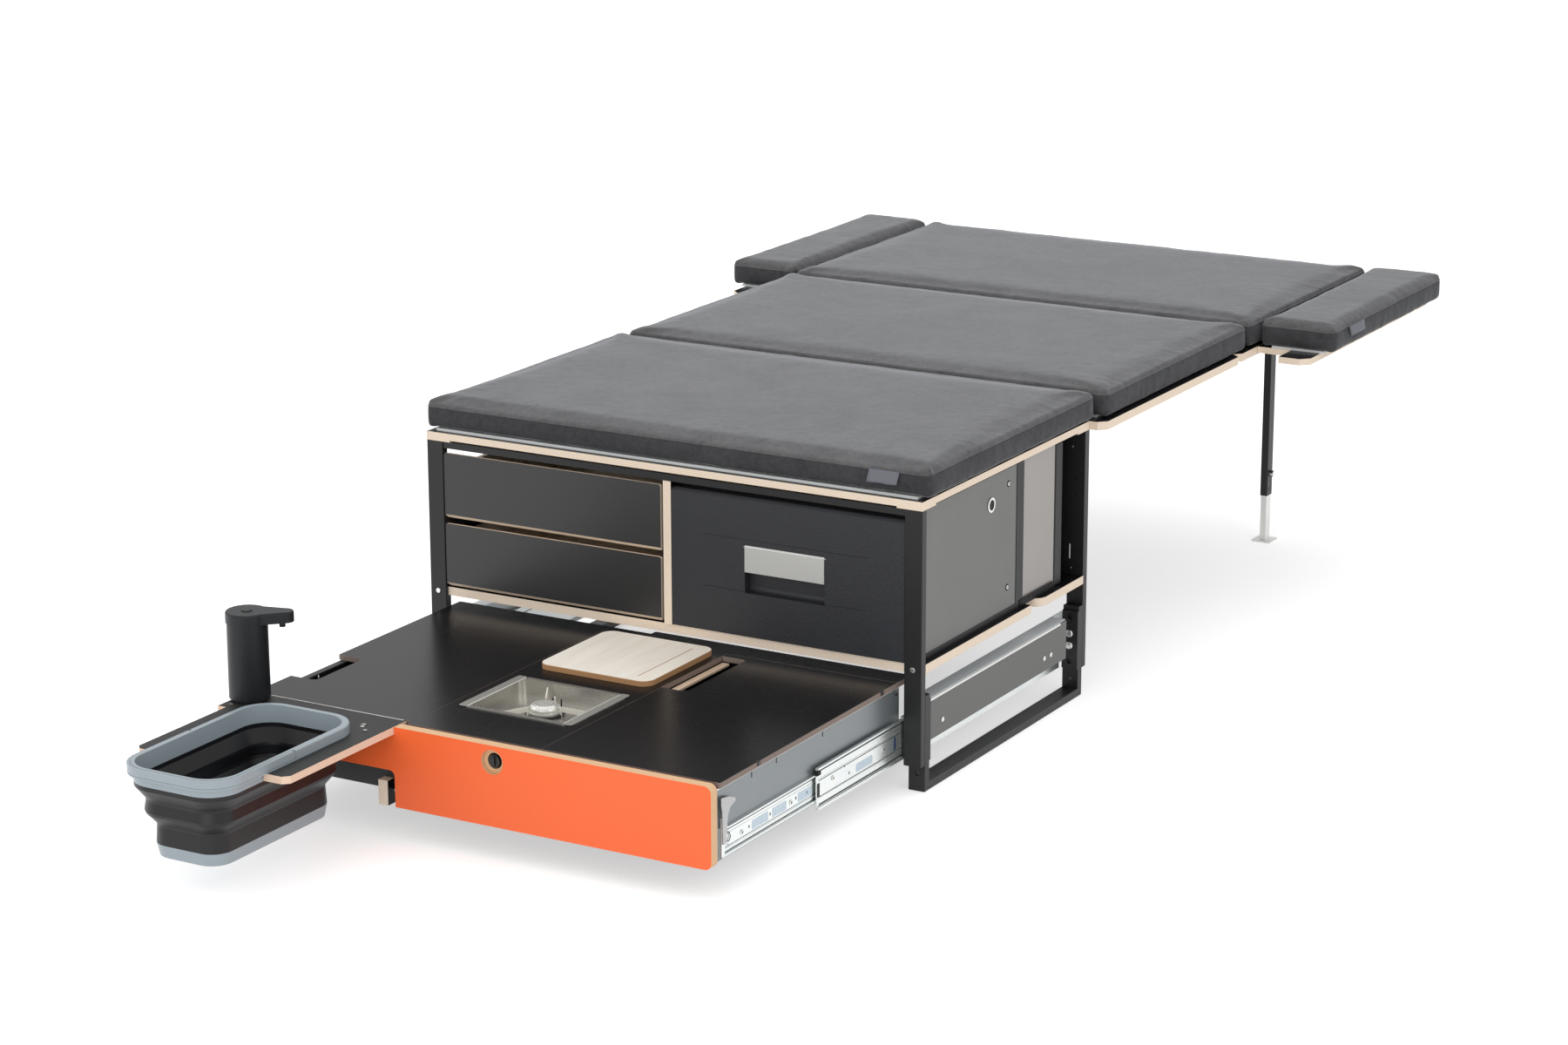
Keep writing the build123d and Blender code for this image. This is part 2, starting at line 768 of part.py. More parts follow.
def make_stove():
    gap = fit_gap / 2
    x0, x1 = stove_left + gap, stove_right - gap
    y0, y1 = stove_front + gap, stove_rear - gap
    floor = lid_top - stove_depth
    shell = slab(x0, x1, y0, y1, floor, lid_top, stove_corner - gap)
    shell += slab(x0 - stove_rim, x1 + stove_rim, y0 - stove_rim, y1 + stove_rim, lid_top,
                  lid_top + stove_rim_height, stove_corner + stove_rim - gap)
    shell -= slab(x0 + stove_wall, x1 - stove_wall, y0 + stove_wall, y1 - stove_wall, floor + stove_wall,
                  lid_top + overrun, stove_corner - gap - stove_wall)
    save("stove_tray", shell)
    x = (stove_left + stove_right) / 2
    y = (stove_front + stove_rear) / 2
    base = floor + stove_wall
    head = base + burner_base_height
    burner = rod((x, y, base), (0, 0, 1), burner_base_height, burner_base_radius)
    burner += rod((x, y, head), (0, 0, 1), burner_head_height, burner_head_radius)
    dome_start = head + burner_head_height
    dome = rod((x, y, dome_start), (0, 0, 1), burner_cap_height, burner_cap_radius)
    dome = fillet(dome.edges().sort_by(Axis.Z)[-1], burner_cap_height * 3 / 4)
    dome -= rod((x, y, dome_start + burner_cap_height / 2), (0, 0, 1), burner_cap_height, burner_hole_radius)
    spark = rod((x, y + spark_offset, base), (0, 0, 1), spark_height, spark_radius)
    save("burner", burner + dome, spark)
    make_pan_supports(x, y, base)


def make_pan_supports(x, y, base):
    pieces = []
    for angle in support_angles:
        arm = block(support_inner, support_reach, -support_thickness / 2, support_thickness / 2,
                    0, support_height)
        arm -= block(support_inner + support_tooth, support_reach - 2 * support_tooth, -overrun, overrun,
                     -overrun, support_height / 2)
        step = (support_reach - support_inner) / support_teeth
        for index in range(support_teeth):
            place = support_inner + (index + 0.5) * step
            notch = Box(support_tooth, 2 * overrun, support_tooth)
            arm -= Pos(place, 0, support_height) * Rot(0, 45, 0) * notch
        pieces.append(Pos(x, y, base) * Rot(0, 0, angle) * arm)
    save("pan_supports", *pieces)


def make_gas_knob():
    base = lid_top - gas_knob_drop - gas_knob_height
    knob = rod((gas_knob_x, gas_knob_y, base), (0, 0, 1), gas_knob_height, gas_knob_radius)
    knob = fillet(knob.edges().sort_by(Axis.Z)[-1], edge_softening)
    reach = gas_knob_radius * grip_share
    grip = block(gas_knob_x - reach, gas_knob_x + reach,
                 gas_knob_y - latch_grip_width / 2, gas_knob_y + latch_grip_width / 2,
                 base, base + gas_knob_height + latch_grip_height)
    save("gas_knob", knob + grip)


def make_cutting_board():
    x0, x1 = cutting_left, cutting_right
    y0, y1 = cutting_front, cutting_rear
    board = slab(x0, x1, y0, y1, lid_top, lid_top + cutting_ply, cutting_corner)
    board = fillet(board.edges().group_by(Axis.Z)[-1], edge_softening)
    line = x1 - cutting_groove_inset
    top = lid_top + cutting_ply
    board -= block(line, line + cutting_groove, y0 + cutting_corner, y1 - cutting_corner,
                   top - cutting_groove_depth, top + overrun)
    save("cutting_board", board)


def make_flap():
    inner_left = bucket_centre_x - bucket_width / 2 + lip_overhang - fit_gap * 2
    inner_right = bucket_centre_x + bucket_width / 2 - lip_overhang + fit_gap * 2
    bar_front = bucket_centre_y + bucket_length / 2 - lip_overhang + fit_gap * 2
    rear = flap_hinge - hinge_radius - hinge_gap
    z0 = lid_top - flap_ply
    flap = block(flap_left, flap_right, flap_front, rear, z0, lid_top)
    flap = chamfer(flap.edges().filter_by(Axis.Z).group_by(Axis.Y)[0], flap_corner)
    flap += block(flap_bar_left, flap_right, flap_bar_front, rear, z0, lid_top)
    bay = block(inner_left, inner_right, flap_front - bucket_corner * 2, bar_front,
                z0 - overrun, lid_top + overrun)
    flap -= fillet(bay.edges().filter_by(Axis.Z), bucket_corner - lip_overhang)
    screws = []
    for x, y in flap_screw_offsets:
        screws.append(rod((flap_right + x, flap_hinge + y, lid_top), (0, 0, 1), flap_screw_height,
                          flap_screw_radius))
    save("flap_board", flap, *screws)


def make_flap_hinges():
    knuckles = []
    start = flap_left
    while start + hinge_knuckle <= flap_right:
        knuckles.append(rod((start, flap_hinge, lid_top - hinge_radius), (1, 0, 0), hinge_knuckle,
                            hinge_radius))
        start += hinge_knuckle + hinge_knuckle_gap
    save("flap_hinges", *knuckles)


def rounded_plan(half_x, half_y, corner, height):
    plan = Pos(bucket_centre_x, bucket_centre_y, height) * RectangleRounded(2 * half_x, 2 * half_y, corner)
    return plan.face()


def stacked(levels):
    faces = [rounded_plan(half_x, half_y, corner, height) for half_x, half_y, corner, height in levels]
    return loft(faces, ruled=True)


def bellows_levels(wall):
    top = lid_top - band_height
    levels = []
    for level, inset in zip(bellows_level_shares, bellows_inset_shares):
        drawn = lip_overhang + wall + inset * bellows_inset
        levels.append((bucket_width / 2 - drawn, bucket_length / 2 - drawn, bucket_corner - drawn * 2 / 3,
                       top - level * bellows_height))
    return levels


def make_bucket():
    half_x, half_y = bucket_width / 2, bucket_length / 2
    top = lid_top + lip_height
    band_x, band_y = half_x - lip_overhang, half_y - lip_overhang
    band_corner = bellows_levels(0)[0][2]
    lip = extrude(rounded_plan(half_x, half_y, bucket_corner, lid_top), lip_height)
    lip = fillet(lip.edges().group_by(Axis.Z)[-1], edge_softening * 2)
    band_bottom = lid_top - band_height
    rim = lip + extrude(rounded_plan(band_x, band_y, band_corner, band_bottom), band_height)
    inner_corner = band_corner - bucket_wall
    mouth = rounded_plan(band_x - bucket_wall, band_y - bucket_wall, inner_corner, band_bottom - overrun)
    rim -= extrude(mouth, band_height + lip_height + 2 * overrun)
    handle_top = top - handle_clearance
    handle = handle_band(handle_top, 0)
    groove = handle_band(top + overrun, handle_clearance)
    pivot_z = handle_top - handle_height / 2
    pin_length = handle_thickness + bucket_wall
    pin = rod((bucket_centre_x - half_x + edge_softening, bucket_centre_y, pivot_z), (1, 0, 0), pin_length,
              handle_pin_radius)
    hole = rod((bucket_centre_x - half_x, bucket_centre_y, pivot_z), (1, 0, 0),
               edge_softening + pin_length + handle_clearance, handle_pin_radius + spindle_clearance)
    pins = both(pin, bucket_centre_x)
    rim -= groove
    for piece in both(hole, bucket_centre_x):
        rim -= piece
    save("bucket_rim", rim)
    save("bucket_handle", handle + pins)
    outer = stacked(bellows_levels(0))
    save("bucket_bellows", outer - stacked(bellows_levels(bucket_wall)))
    base_half_x, base_half_y, base_corner, base_top = bellows_levels(0)[-1]
    base_bottom = base_top - base_height
    base = stacked([(base_half_x, base_half_y, base_corner, base_top),
                    (base_half_x - base_inset, base_half_y - base_inset, base_corner, base_bottom)])
    base -= stacked([(base_half_x - bucket_wall, base_half_y - bucket_wall, base_corner - bucket_wall,
                      base_top + overrun),
                     (base_half_x - bucket_wall - base_inset, base_half_y - bucket_wall - base_inset,
                      base_corner - bucket_wall, base_bottom + bucket_wall)])
    save("bucket_base", base)


def handle_band(top, clearance):
    half_x, half_y = bucket_width / 2, bucket_length / 2
    inner = handle_thickness + clearance
    bottom = lid_top + lip_height - handle_clearance - handle_height - clearance
    outside = rounded_plan(half_x + 4 * clearance, half_y + 4 * clearance, bucket_corner, bottom)
    ring = extrude(outside, top - bottom)
    ring -= extrude(rounded_plan(half_x - inner, half_y - inner, bucket_corner - inner, bottom - overrun),
                    top - bottom + 2 * overrun)
    reach = handle_height / 2 + clearance
    start = bucket_centre_y + reach
    keep = block(bucket_centre_x - bucket_width, bucket_centre_x + bucket_width,
                 bucket_centre_y - bucket_length, start, bottom, top)
    band = ring & keep
    if clearance == 0:
        ends = band.edges().filter_by(Axis.X).group_by(Axis.Y)[-1]
        band = fillet(ends, handle_height / 2 - edge_softening)
    return band


def make_tap():
    z0 = lid_top
    z1 = lid_top + tap_height - tap_head_height
    z2 = lid_top + tap_height
    foot = rod((tap_x, tap_y, z0), (0, 0, 1), tap_base_ring, tap_base_radius - tap_base_inset)
    taper = Cone(tap_base_radius, tap_top_radius, z1 - z0 - tap_base_ring,
                 align=(Align.CENTER, Align.CENTER, Align.MIN))
    body = Pos(tap_x, tap_y, z0 + tap_base_ring) * taper
    head = rod((tap_x, tap_y, z1), (0, 0, 1), tap_head_height, tap_head_radius)
    end = tap_spout_reach - tap_spout_radius
    waist = tap_head_radius * tap_spout_taper_share * 2
    plan = Polyline((0, -waist), (end, -tap_spout_radius), (end, tap_spout_radius), (0, waist), close=True)
    spout = extrude(make_face(plan), tap_head_height)
    spout += rod((end, 0, 0), (0, 0, 1), tap_head_height, tap_spout_radius)
    nozzle = rod((end - nozzle_inset, 0, -nozzle_height), (0, 0, 1), nozzle_height, nozzle_radius)
    turn = Pos(tap_x, tap_y, z1) * Rot(0, 0, tap_spout_yaw)
    top = fillet((head + turn * spout).edges().group_by(Axis.Z)[-1], tap_softening)
    top -= rod((tap_x, tap_y, z2 - button_height - button_floor_gap), (0, 0, 1), button_height * 3,
               button_radius + spindle_clearance)
    save("tap_body", foot + body + top, turn * nozzle)
    base = z2 + button_proud - button_height
    button = rod((tap_x, tap_y, base), (0, 0, 1), button_height, button_radius)
    save("tap_button", fillet(button.edges().sort_by(Axis.Z)[-1], edge_softening / 2))


def make_drawer(name, bottom, top):
    y0 = drawer_front_y
    y1 = drawer_front_y + drawer_front_ply
    front = block(drawer_left, drawer_right, y0, y1, bottom, top)
    front = chamfer(front.edges().filter_by(Axis.Y), drawer_corner)
    front = chamfer(front.faces().sort_by(Axis.Y)[0].edges().sort_by(Axis.Z)[0], drawer_bevel)
    front = chamfer(front.faces().sort_by(Axis.Y)[-1].edges().sort_by(Axis.Z)[-1], drawer_top_bevel)
    x0 = drawer_left + fit_gap * 2
    x1 = -divider_ply / 2 - drawer_side_gap
    z0 = bottom + drawer_lift
    box = block(x0, x1, y1, y1 + drawer_depth, z0, z0 + drawer_box_height)
    box -= block(x0 + drawer_wall, x1 - drawer_wall, y1 + drawer_wall, y1 + drawer_depth - drawer_wall,
                 z0 + drawer_wall, z0 + drawer_box_height + overrun)
    save(f"{name}_drawer_front", front)
    save(f"{name}_drawer_box", box)
    runner_bottom = z0 + runner_lift
    skin = -half_frame + side_skin_inset + side_skin
    left = block(skin, x0, y1 + fit_gap, y1 + drawer_depth, runner_bottom, runner_bottom + runner_height)
    right = block(x1, -divider_ply / 2, y1 + fit_gap, y1 + drawer_depth, runner_bottom,
                  runner_bottom + runner_height)
    return [left, right]


def make_drawers():
    runners = make_drawer("upper", upper_front_bottom, upper_front_top)
    runners += make_drawer("lower", lower_front_bottom, lower_front_top)
    save("drawer_runners", *runners)


def make_fridge():
    left = divider_ply / 2 + fit_gap
    right = fridge_door_right
    bottom = shelf_top + fridge_door_lift
    y0, y1 = fridge_door_front, fridge_door_front + fridge_door_thickness
    door = block(left, right, y0, y1, bottom, fridge_door_top)
    door = chamfer(door.faces().sort_by(Axis.Y)[0].edges().sort_by(Axis.Z)[-1], fridge_bevel)
    gap = fit_gap
    pocket_back = y0 - fridge_handle_proud + fridge_handle_thickness + gap
    door -= block(fridge_handle_left - gap, fridge_handle_right + gap, y0 - overrun, pocket_back,
                  fridge_handle_bottom, fridge_handle_top + gap)
    grip = block(fridge_handle_left - gap, fridge_handle_right + gap, y0 - overrun, y0 + fridge_grip_depth,
                 fridge_grip_bottom, fridge_handle_bottom + gap)
    grip_edge = grip.edges().filter_by(Axis.X).group_by(Axis.Z)[0].sort_by(Axis.Y)[-1]
    door -= fillet(grip_edge, fridge_grip_depth / 2)
    for drop in fridge_line_drops:
        height = fridge_door_top - drop
        door -= block(fridge_line_left, fridge_line_right, y0 - overrun, y0 + fridge_line_size, height,
                      height + fridge_line_size)
    half_thickness = fridge_handle_thickness / 2
    pin_y = y0 - fridge_handle_proud + half_thickness
    pin_z = fridge_handle_top - half_thickness
    pin_length = fridge_handle_right - fridge_handle_left + 2 * fridge_pin_reach
    door -= rod((fridge_handle_left - fridge_pin_reach - gap, pin_y, pin_z), (1, 0, 0), pin_length + 2 * gap,
                fridge_pin_radius + spindle_clearance)
    save("fridge_door", door)
    handle = block(fridge_handle_left, fridge_handle_right, y0 - fridge_handle_proud,
                   y0 - fridge_handle_proud + fridge_handle_thickness, fridge_handle_bottom, pin_z)
    handle = fillet(handle.edges().group_by(Axis.Z)[0], edge_softening / 2)
    handle += rod((fridge_handle_left, pin_y, pin_z), (1, 0, 0), fridge_handle_right - fridge_handle_left,
                  half_thickness)
    handle += rod((fridge_handle_left - fridge_pin_reach, pin_y, pin_z), (1, 0, 0), pin_length,
                  fridge_pin_radius)
    save("fridge_handle", handle)
    outside = half_frame - side_skin_inset
    cavity_right = right - fridge_wall
    cavity_left = left + fridge_wall
    cavity_top = fridge_door_top - fridge_wall
    body = block(left, outside, y1, fridge_body_rear, shelf_top, fridge_body_top)
    body -= block(right + fit_gap, outside + overrun, y1 - overrun, post_depth + fit_gap, shelf_top - overrun,
                  fridge_body_top + overrun)
    body -= block(cavity_left, cavity_right, y1 - overrun, fridge_body_rear - fridge_wall,
                  shelf_top + fridge_floor, cavity_top)
    latch_z = fridge_body_top - fridge_latch_drop
    body -= rod((outside - fridge_latch_depth, fridge_latch_y, latch_z), (1, 0, 0),
                fridge_latch_depth + overrun, fridge_latch_radius)
    for y, drop in fridge_screw_places:
        body -= rod((outside - fridge_latch_depth, y, fridge_body_top - drop), (1, 0, 0),
                    fridge_latch_depth + overrun, fridge_screw_radius)
    save("fridge_cabinet", body)
    bin_left = cavity_left + fridge_bin_gap
    bin_right = cavity_right - fridge_bin_gap
    bin_bottom = shelf_top + fridge_floor + fridge_bin_gap
    fridge_bin_height = fridge_door_top - fridge_bin_drop - bin_bottom
    tub = block(bin_left, bin_right, y1, y1 + fridge_bin_depth, bin_bottom, bin_bottom + fridge_bin_height)
    tub -= block(bin_left + fridge_bin_wall, bin_right - fridge_bin_wall, y1 + fridge_bin_wall,
                 y1 + fridge_bin_depth - fridge_bin_wall, bin_bottom + fridge_bin_wall,
                 bin_bottom + fridge_bin_height + overrun)
    save("fridge_bin", tub)
    make_fridge_cooler(left, outside)


def make_fridge_cooler(left, outside):
    y0 = fridge_body_rear
    frame = block(left, outside, y0, y0 + fridge_frame_depth, shelf_top, fridge_body_top)
    unit = block(left + cooler_inset, outside - cooler_side_step, y0 + fridge_frame_depth, cooler_rear,
                 shelf_top, fridge_body_top)
    step = (fridge_body_top - shelf_top - 2 * cooler_inset) / cooler_slot_count
    for index in range(cooler_slot_count):
        height = shelf_top + cooler_inset / 2 + index * step
        unit -= block(left + 2 * cooler_inset, outside - 2 * cooler_inset, cooler_rear - cooler_slot_depth,
                      cooler_rear + overrun, height, height + cooler_slot_width)
    save("fridge_cooler", frame + unit)


def cushion(x0, x1, y0, y1, front_sheet, sheet):
    half_x, half_y = (x1 - x0) / 2, (y1 - y0) / 2
    middle_x, middle_y = (x0 + x1) / 2, (y0 + y1) / 2
    z0, z1 = bed_deck, bed_deck + mattress_thickness
    top = z1 + mattress_crown

    def outline(inset, height):
        a, b = half_x - inset, half_y - inset
        r = max(mattress_corner - inset / 2, mattress_round)
        draw = mattress_draw_in
        diagonal = r - r / 2 ** 0.5
        edges = []
        for sx, sy in ((1, 1), (-1, 1), (-1, -1), (1, -1)):
            corner = ThreePointArc((sx * a, sy * (b - r)), (sx * (a - diagonal), sy * (b - diagonal)),
                                   (sx * (a - r), sy * b))
            edges.append(corner)
        edges.append(ThreePointArc((a - r, b), (0, b - draw), (r - a, b)))
        edges.append(ThreePointArc((-a, b - r), (draw - a, 0), (-a, r - b)))
        edges.append(ThreePointArc((r - a, -b), (0, draw - b), (a - r, -b)))
        edges.append(ThreePointArc((a, r - b), (a - draw, 0), (a, b - r)))
        return Pos(middle_x, middle_y, height) * make_face(edges)

    lower = mattress_round
    levels = [(lower / 2, z0), (0, z0 + lower), (0, z1 - lower), (lower / 3, z1 - lower / 3), (lower, z1),
              (mattress_crown_share * half_x, top)]
    body = loft([outline(inset, height) for inset, height in levels], ruled=True)
    if not sheet:
        return body
    return body + block(x0 + sheet_inset, x1 - sheet_inset, front_sheet, y1 - sheet_inset,
                        board_top, bed_deck)


def make_mattresses():
    left, right = bed_shift - mattress_half_width, bed_shift + mattress_half_width
    first = cushion(-first_mattress_half_width, first_mattress_half_width, first_mattress_front,
                    first_mattress_rear, first_mattress_front + sheet_inset / 2, True)
    save("first_mattress", first)
    middle = cushion(left, right, middle_mattress_front, middle_mattress_rear,
                     middle_mattress_front + sheet_inset, True)
    save("middle_mattress", middle)
    head = cushion(left, right, head_mattress_front, head_mattress_rear,
                   head_mattress_front + sheet_inset, True)
    save("head_mattress", head)
    wing = cushion(right + wing_cushion_gap, right_outside, wing_front, head_mattress_rear,
                   wing_front + sheet_inset, True)
    pair = both(wing, bed_shift)
    save("right_wing_cushion", pair[0])
    save("left_wing_cushion", pair[1])


def bed_board(half_width, y0, y1):
    board = block(bed_shift - half_width, bed_shift + half_width, y0, y1, frame_height, board_top)
    return chamfer(board.edges().filter_by(Axis.Z), bed_corner)


def make_bed_boards():
    middle = bed_board(middle_half_width, middle_front, middle_rear)
    tongue = block(bed_shift + tongue_offset, bed_shift + tongue_offset + tongue_width,
                   middle_rear - tongue_length / 2, middle_rear + tongue_length / 2,
                   frame_height - tongue_thickness, frame_height)
    save("middle_board", middle, *both(tongue, bed_shift))
    save("head_board", bed_board(head_half_width, middle_rear + board_rear_play, head_rear))


def make_wings():
    x0 = bed_shift + head_half_width + wing_gap
    x1 = x0 + wing_reach
    z0 = board_top - wing_ply
    plan = Polyline((x0, wing_board_front), (x0 + wing_tab_start, wing_board_front),
                    (x0 + wing_tab_start, wing_tab_front), (x1 - wing_corner, wing_tab_front),
                    (x1, wing_tab_front + wing_corner), (x1, head_rear), (x0, head_rear), close=True)
    board = extrude(Pos(0, 0, z0) * make_face(plan), wing_ply)
    bars = []
    for share in wing_bar_shares:
        y = wing_board_front + share * (head_rear - wing_board_front)
        bar = block(x0 - wing_bar_reach, x1 - wing_corner, y, y + wing_bar_width,
                    frame_height - wing_bar_thickness, frame_height)
        bar += block(x0, x1 - wing_corner, y, y + wing_bar_width, frame_height, z0)
        bars.append(bar)
    pairs = [both(piece, bed_shift) for piece in [board] + bars]
    save("right_wing_board", *[pair[0] for pair in pairs])
    save("left_wing_board", *[pair[1] for pair in pairs])


def make_legs():
    x = bed_shift + leg_offset
    x0, x1 = x - leg_width / 2, x + leg_width / 2
    y0, y1 = leg_y - leg_depth / 2, leg_y + leg_depth / 2
    pivot_z = frame_height - leg_pivot_drop
    top = pivot_z + leg_depth / 2
    leg = tube(x0, x1, y0, y1, leg_bottom, top - leg_wall, leg_wall)
    leg += block(x0, x1, y0, y1, top - 2 * leg_wall - leg_depth, top)
    leg = fillet(leg.edges().filter_by(Axis.X).group_by(Axis.Z)[-1], leg_depth / 3)
    lock = rod((x1 - leg_wall - overrun, leg_y, lock_height), (1, 0, 0), leg_wall + 2 * overrun,
               lock_pin_radius + lock_hole_clearance)
    leg -= lock
    leg -= rod((x1 - leg_wall - overrun, leg_y, lock_height - leg_hole_drop), (1, 0, 0),
               leg_wall + 2 * overrun, leg_hole_radius)
    pivot_hole = rod((x0 - overrun, leg_y, pivot_z), (1, 0, 0), leg_width + 2 * overrun,
                     pivot_radius + spindle_clearance)
    leg -= pivot_hole
    cross_z = frame_height - cross_tube_drop
    half_cross = cross_tube_size / 2
    cross = block(2 * bed_shift - x0, x0, leg_y - half_cross, leg_y + half_cross,
                  cross_z - half_cross, cross_z + half_cross)
    save("leg_frame", *both(leg, bed_shift), cross)
    make_leg_brackets(x0, x1, pivot_z)
    make_leg_feet(x, x1)


def make_leg_brackets(x0, x1, pivot_z):
    side = bracket_side_gap
    half = bracket_base / 2
    z1 = frame_height
    ear_half = leg_depth / 2
    bracket = block(x0 - bracket_ear / 2, x1 + bracket_ear / 2, leg_y - half, leg_y + half,
                    z1 - bracket_thickness, z1)
    for inner, outward in ((x0 - side, -1), (x1 + side, 1)):
        outer = inner + outward * bracket_thickness
        bracket += block(inner, outer, leg_y - ear_half, leg_y + ear_half, z1 - bracket_ear, z1)
    pin_start = x0 - side - 2 * bracket_thickness
    pin_length = x1 - x0 + 2 * side + 4 * bracket_thickness
    bracket += rod((pin_start, leg_y, pivot_z), (1, 0, 0), pin_length, pivot_radius)
    save("leg_brackets", *both(bracket, bed_shift))


def make_leg_feet(x, x1):
    half_x = leg_width / 2 - leg_wall - leg_play
    half_y = leg_depth / 2 - leg_wall - leg_play
    stem = block(x - half_x, x + half_x, leg_y - half_y, leg_y + half_y, 0, leg_foot_top)
    stem -= block(x - half_x + leg_foot_wall, x + half_x - leg_foot_wall, leg_y - half_y + leg_foot_wall,
                  leg_y + half_y - leg_foot_wall, leg_foot_plate_thickness, leg_foot_top + overrun)
    half = leg_foot_plate / 2
    plate = slab(x - half, x + half, leg_y - half, leg_y + half, 0, leg_foot_plate_thickness, leg_wall)
    pair = both(stem + plate, bed_shift)
    save("right_leg_foot", pair[0])
    save("left_leg_foot", pair[1])
    start = x1 - leg_wall + lock_tip_gap
    knob = rod((start, leg_y, lock_height), (1, 0, 0), leg_wall + edge_softening, lock_pin_radius)
    head = rod((x1 + edge_softening / 2, leg_y, lock_height), (1, 0, 0), lock_knob_length, lock_knob_radius)
    knob += fillet(head.edges().sort_by(Axis.X)[-1], edge_softening)
    pair = both(knob, bed_shift)
    save("right_lock_button", pair[0])
    save("left_lock_button", pair[1])


make_posts()
make_top_rails()
make_feet()
make_beams()
make_slides()
make_top_board()
make_shelves()
make_side_panels()
make_kitchen_front()
make_kitchen_tray()
make_latch_knob()
make_lids()
make_stove()
make_gas_knob()
make_cutting_board()
make_flap()
make_flap_hinges()
make_bucket()
make_tap()
make_drawers()
make_fridge()
make_mattresses()
make_bed_boards()
make_wings()
make_legs()
print("origin", origin_x, origin_y)
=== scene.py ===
import math

import bmesh
import bpy
from mathutils import Matrix, Vector, noise
from mathutils.bvhtree import BVHTree


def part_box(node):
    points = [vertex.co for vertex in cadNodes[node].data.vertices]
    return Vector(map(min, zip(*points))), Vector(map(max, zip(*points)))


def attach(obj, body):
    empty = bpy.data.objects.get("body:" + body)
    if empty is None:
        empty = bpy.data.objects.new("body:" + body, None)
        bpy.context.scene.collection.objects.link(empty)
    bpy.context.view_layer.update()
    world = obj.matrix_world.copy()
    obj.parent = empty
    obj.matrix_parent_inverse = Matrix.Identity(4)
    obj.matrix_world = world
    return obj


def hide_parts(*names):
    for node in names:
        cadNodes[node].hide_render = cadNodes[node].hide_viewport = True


# A camping box: steel frame, pull-out kitchen, drawers, fridge and a cushioned bed.
# Everything is in metres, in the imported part's own frame.

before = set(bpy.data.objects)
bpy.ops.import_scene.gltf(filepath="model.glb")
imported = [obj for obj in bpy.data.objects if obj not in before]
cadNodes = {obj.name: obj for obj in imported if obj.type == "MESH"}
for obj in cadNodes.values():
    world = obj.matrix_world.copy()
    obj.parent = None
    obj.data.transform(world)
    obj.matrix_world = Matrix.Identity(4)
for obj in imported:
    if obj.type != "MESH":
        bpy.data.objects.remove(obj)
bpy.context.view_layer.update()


# small helpers for shader trees

def color(red, green, blue):
    return (red, green, blue, 1.0)


def addNode(tree, kind, **settings):
    node = tree.nodes.new(kind)
    for key, value in settings.items():
        setattr(node, key, value)
    return node


def setSockets(node, **values):
    for key, value in values.items():
        node.inputs[key.replace("_", " ")].default_value = value


def feed(tree, socket, value):
    # another node's output is linked, a plain value is set on the socket
    if hasattr(value, "is_output"):
        tree.links.new(value, socket)
    else:
        socket.default_value = value


def mathNode(tree, operation, first, second, clamp=False):
    node = addNode(tree, "ShaderNodeMath", operation=operation, use_clamp=clamp)
    feed(tree, node.inputs[0], first)
    feed(tree, node.inputs[1], second)
    return node.outputs[0]


def vectorNode(tree, operation, first, second, result):
    node = addNode(tree, "ShaderNodeVectorMath", operation=operation)
    feed(tree, node.inputs[0], first)
    feed(tree, node.inputs[1], second)
    return node.outputs[result]


def mixColors(tree, factor, first, second):
    node = addNode(tree, "ShaderNodeMix", data_type="RGBA")
    for index, value in ((0, factor), (6, first), (7, second)):
        feed(tree, node.inputs[index], value)
    return node.outputs[2]


def noiseNode(tree, place, scale, **settings):
    node = addNode(tree, "ShaderNodeTexNoise")
    setSockets(node, **settings)
    feed(tree, node.inputs["Vector"], place)
    feed(tree, node.inputs["Scale"], scale)
    return node.outputs["Fac"]


def remap(tree, value, low, high):
    node = addNode(tree, "ShaderNodeMapRange")
    setSockets(node, From_Min=low, From_Max=high)
    feed(tree, node.inputs["Value"], value)
    return node.outputs["Result"]


def newGroup(name, inputs, outputs):
    group = bpy.data.node_groups.new(name, "ShaderNodeTree")
    for kind, label, default in inputs:
        socket = group.interface.new_socket(label, in_out="INPUT", socket_type="NodeSocket" + kind)
        socket.default_value = default
    for kind, label in outputs:
        group.interface.new_socket(label, in_out="OUTPUT", socket_type="NodeSocket" + kind)
    given = group.nodes.new("NodeGroupInput").outputs
    out = group.nodes.new("NodeGroupOutput").inputs
    place = group.nodes.new("ShaderNodeTexCoord").outputs["Object"]
    return group, given, out, place


# effects that several materials share

def makeSpeckle():
    # uneven tone and fine orange peel, for powder coat, laminate and moulded plastic
    group, given, out, place = newGroup("surfaceSpeckle", [
        ("Color", "Base", color(0.02, 0.02, 0.02)), ("Color", "Tint", color(0.04, 0.04, 0.04)),
        ("Float", "Cloud Scale", 6.0), ("Float", "Peel Scale", 900.0),
        ("Float", "Roughness", 0.4), ("Float", "Spread", 0.1)],
        [("Color", "Color"), ("Float", "Roughness"), ("Float", "Height")])
    clouds = noiseNode(group, place, given["Cloud Scale"], Detail=4.0, Roughness=0.6)
    peel = noiseNode(group, place, given["Peel Scale"], Detail=2.0, Roughness=0.5)
    feed(group, out["Color"], mixColors(group, clouds, given["Base"], given["Tint"]))
    offset = mathNode(group, "MULTIPLY", mathNode(group, "SUBTRACT", clouds, 0.5), given["Spread"])
    feed(group, out["Roughness"], mathNode(group, "ADD", offset, given["Roughness"], True))
    feed(group, out["Height"], peel)
    return group


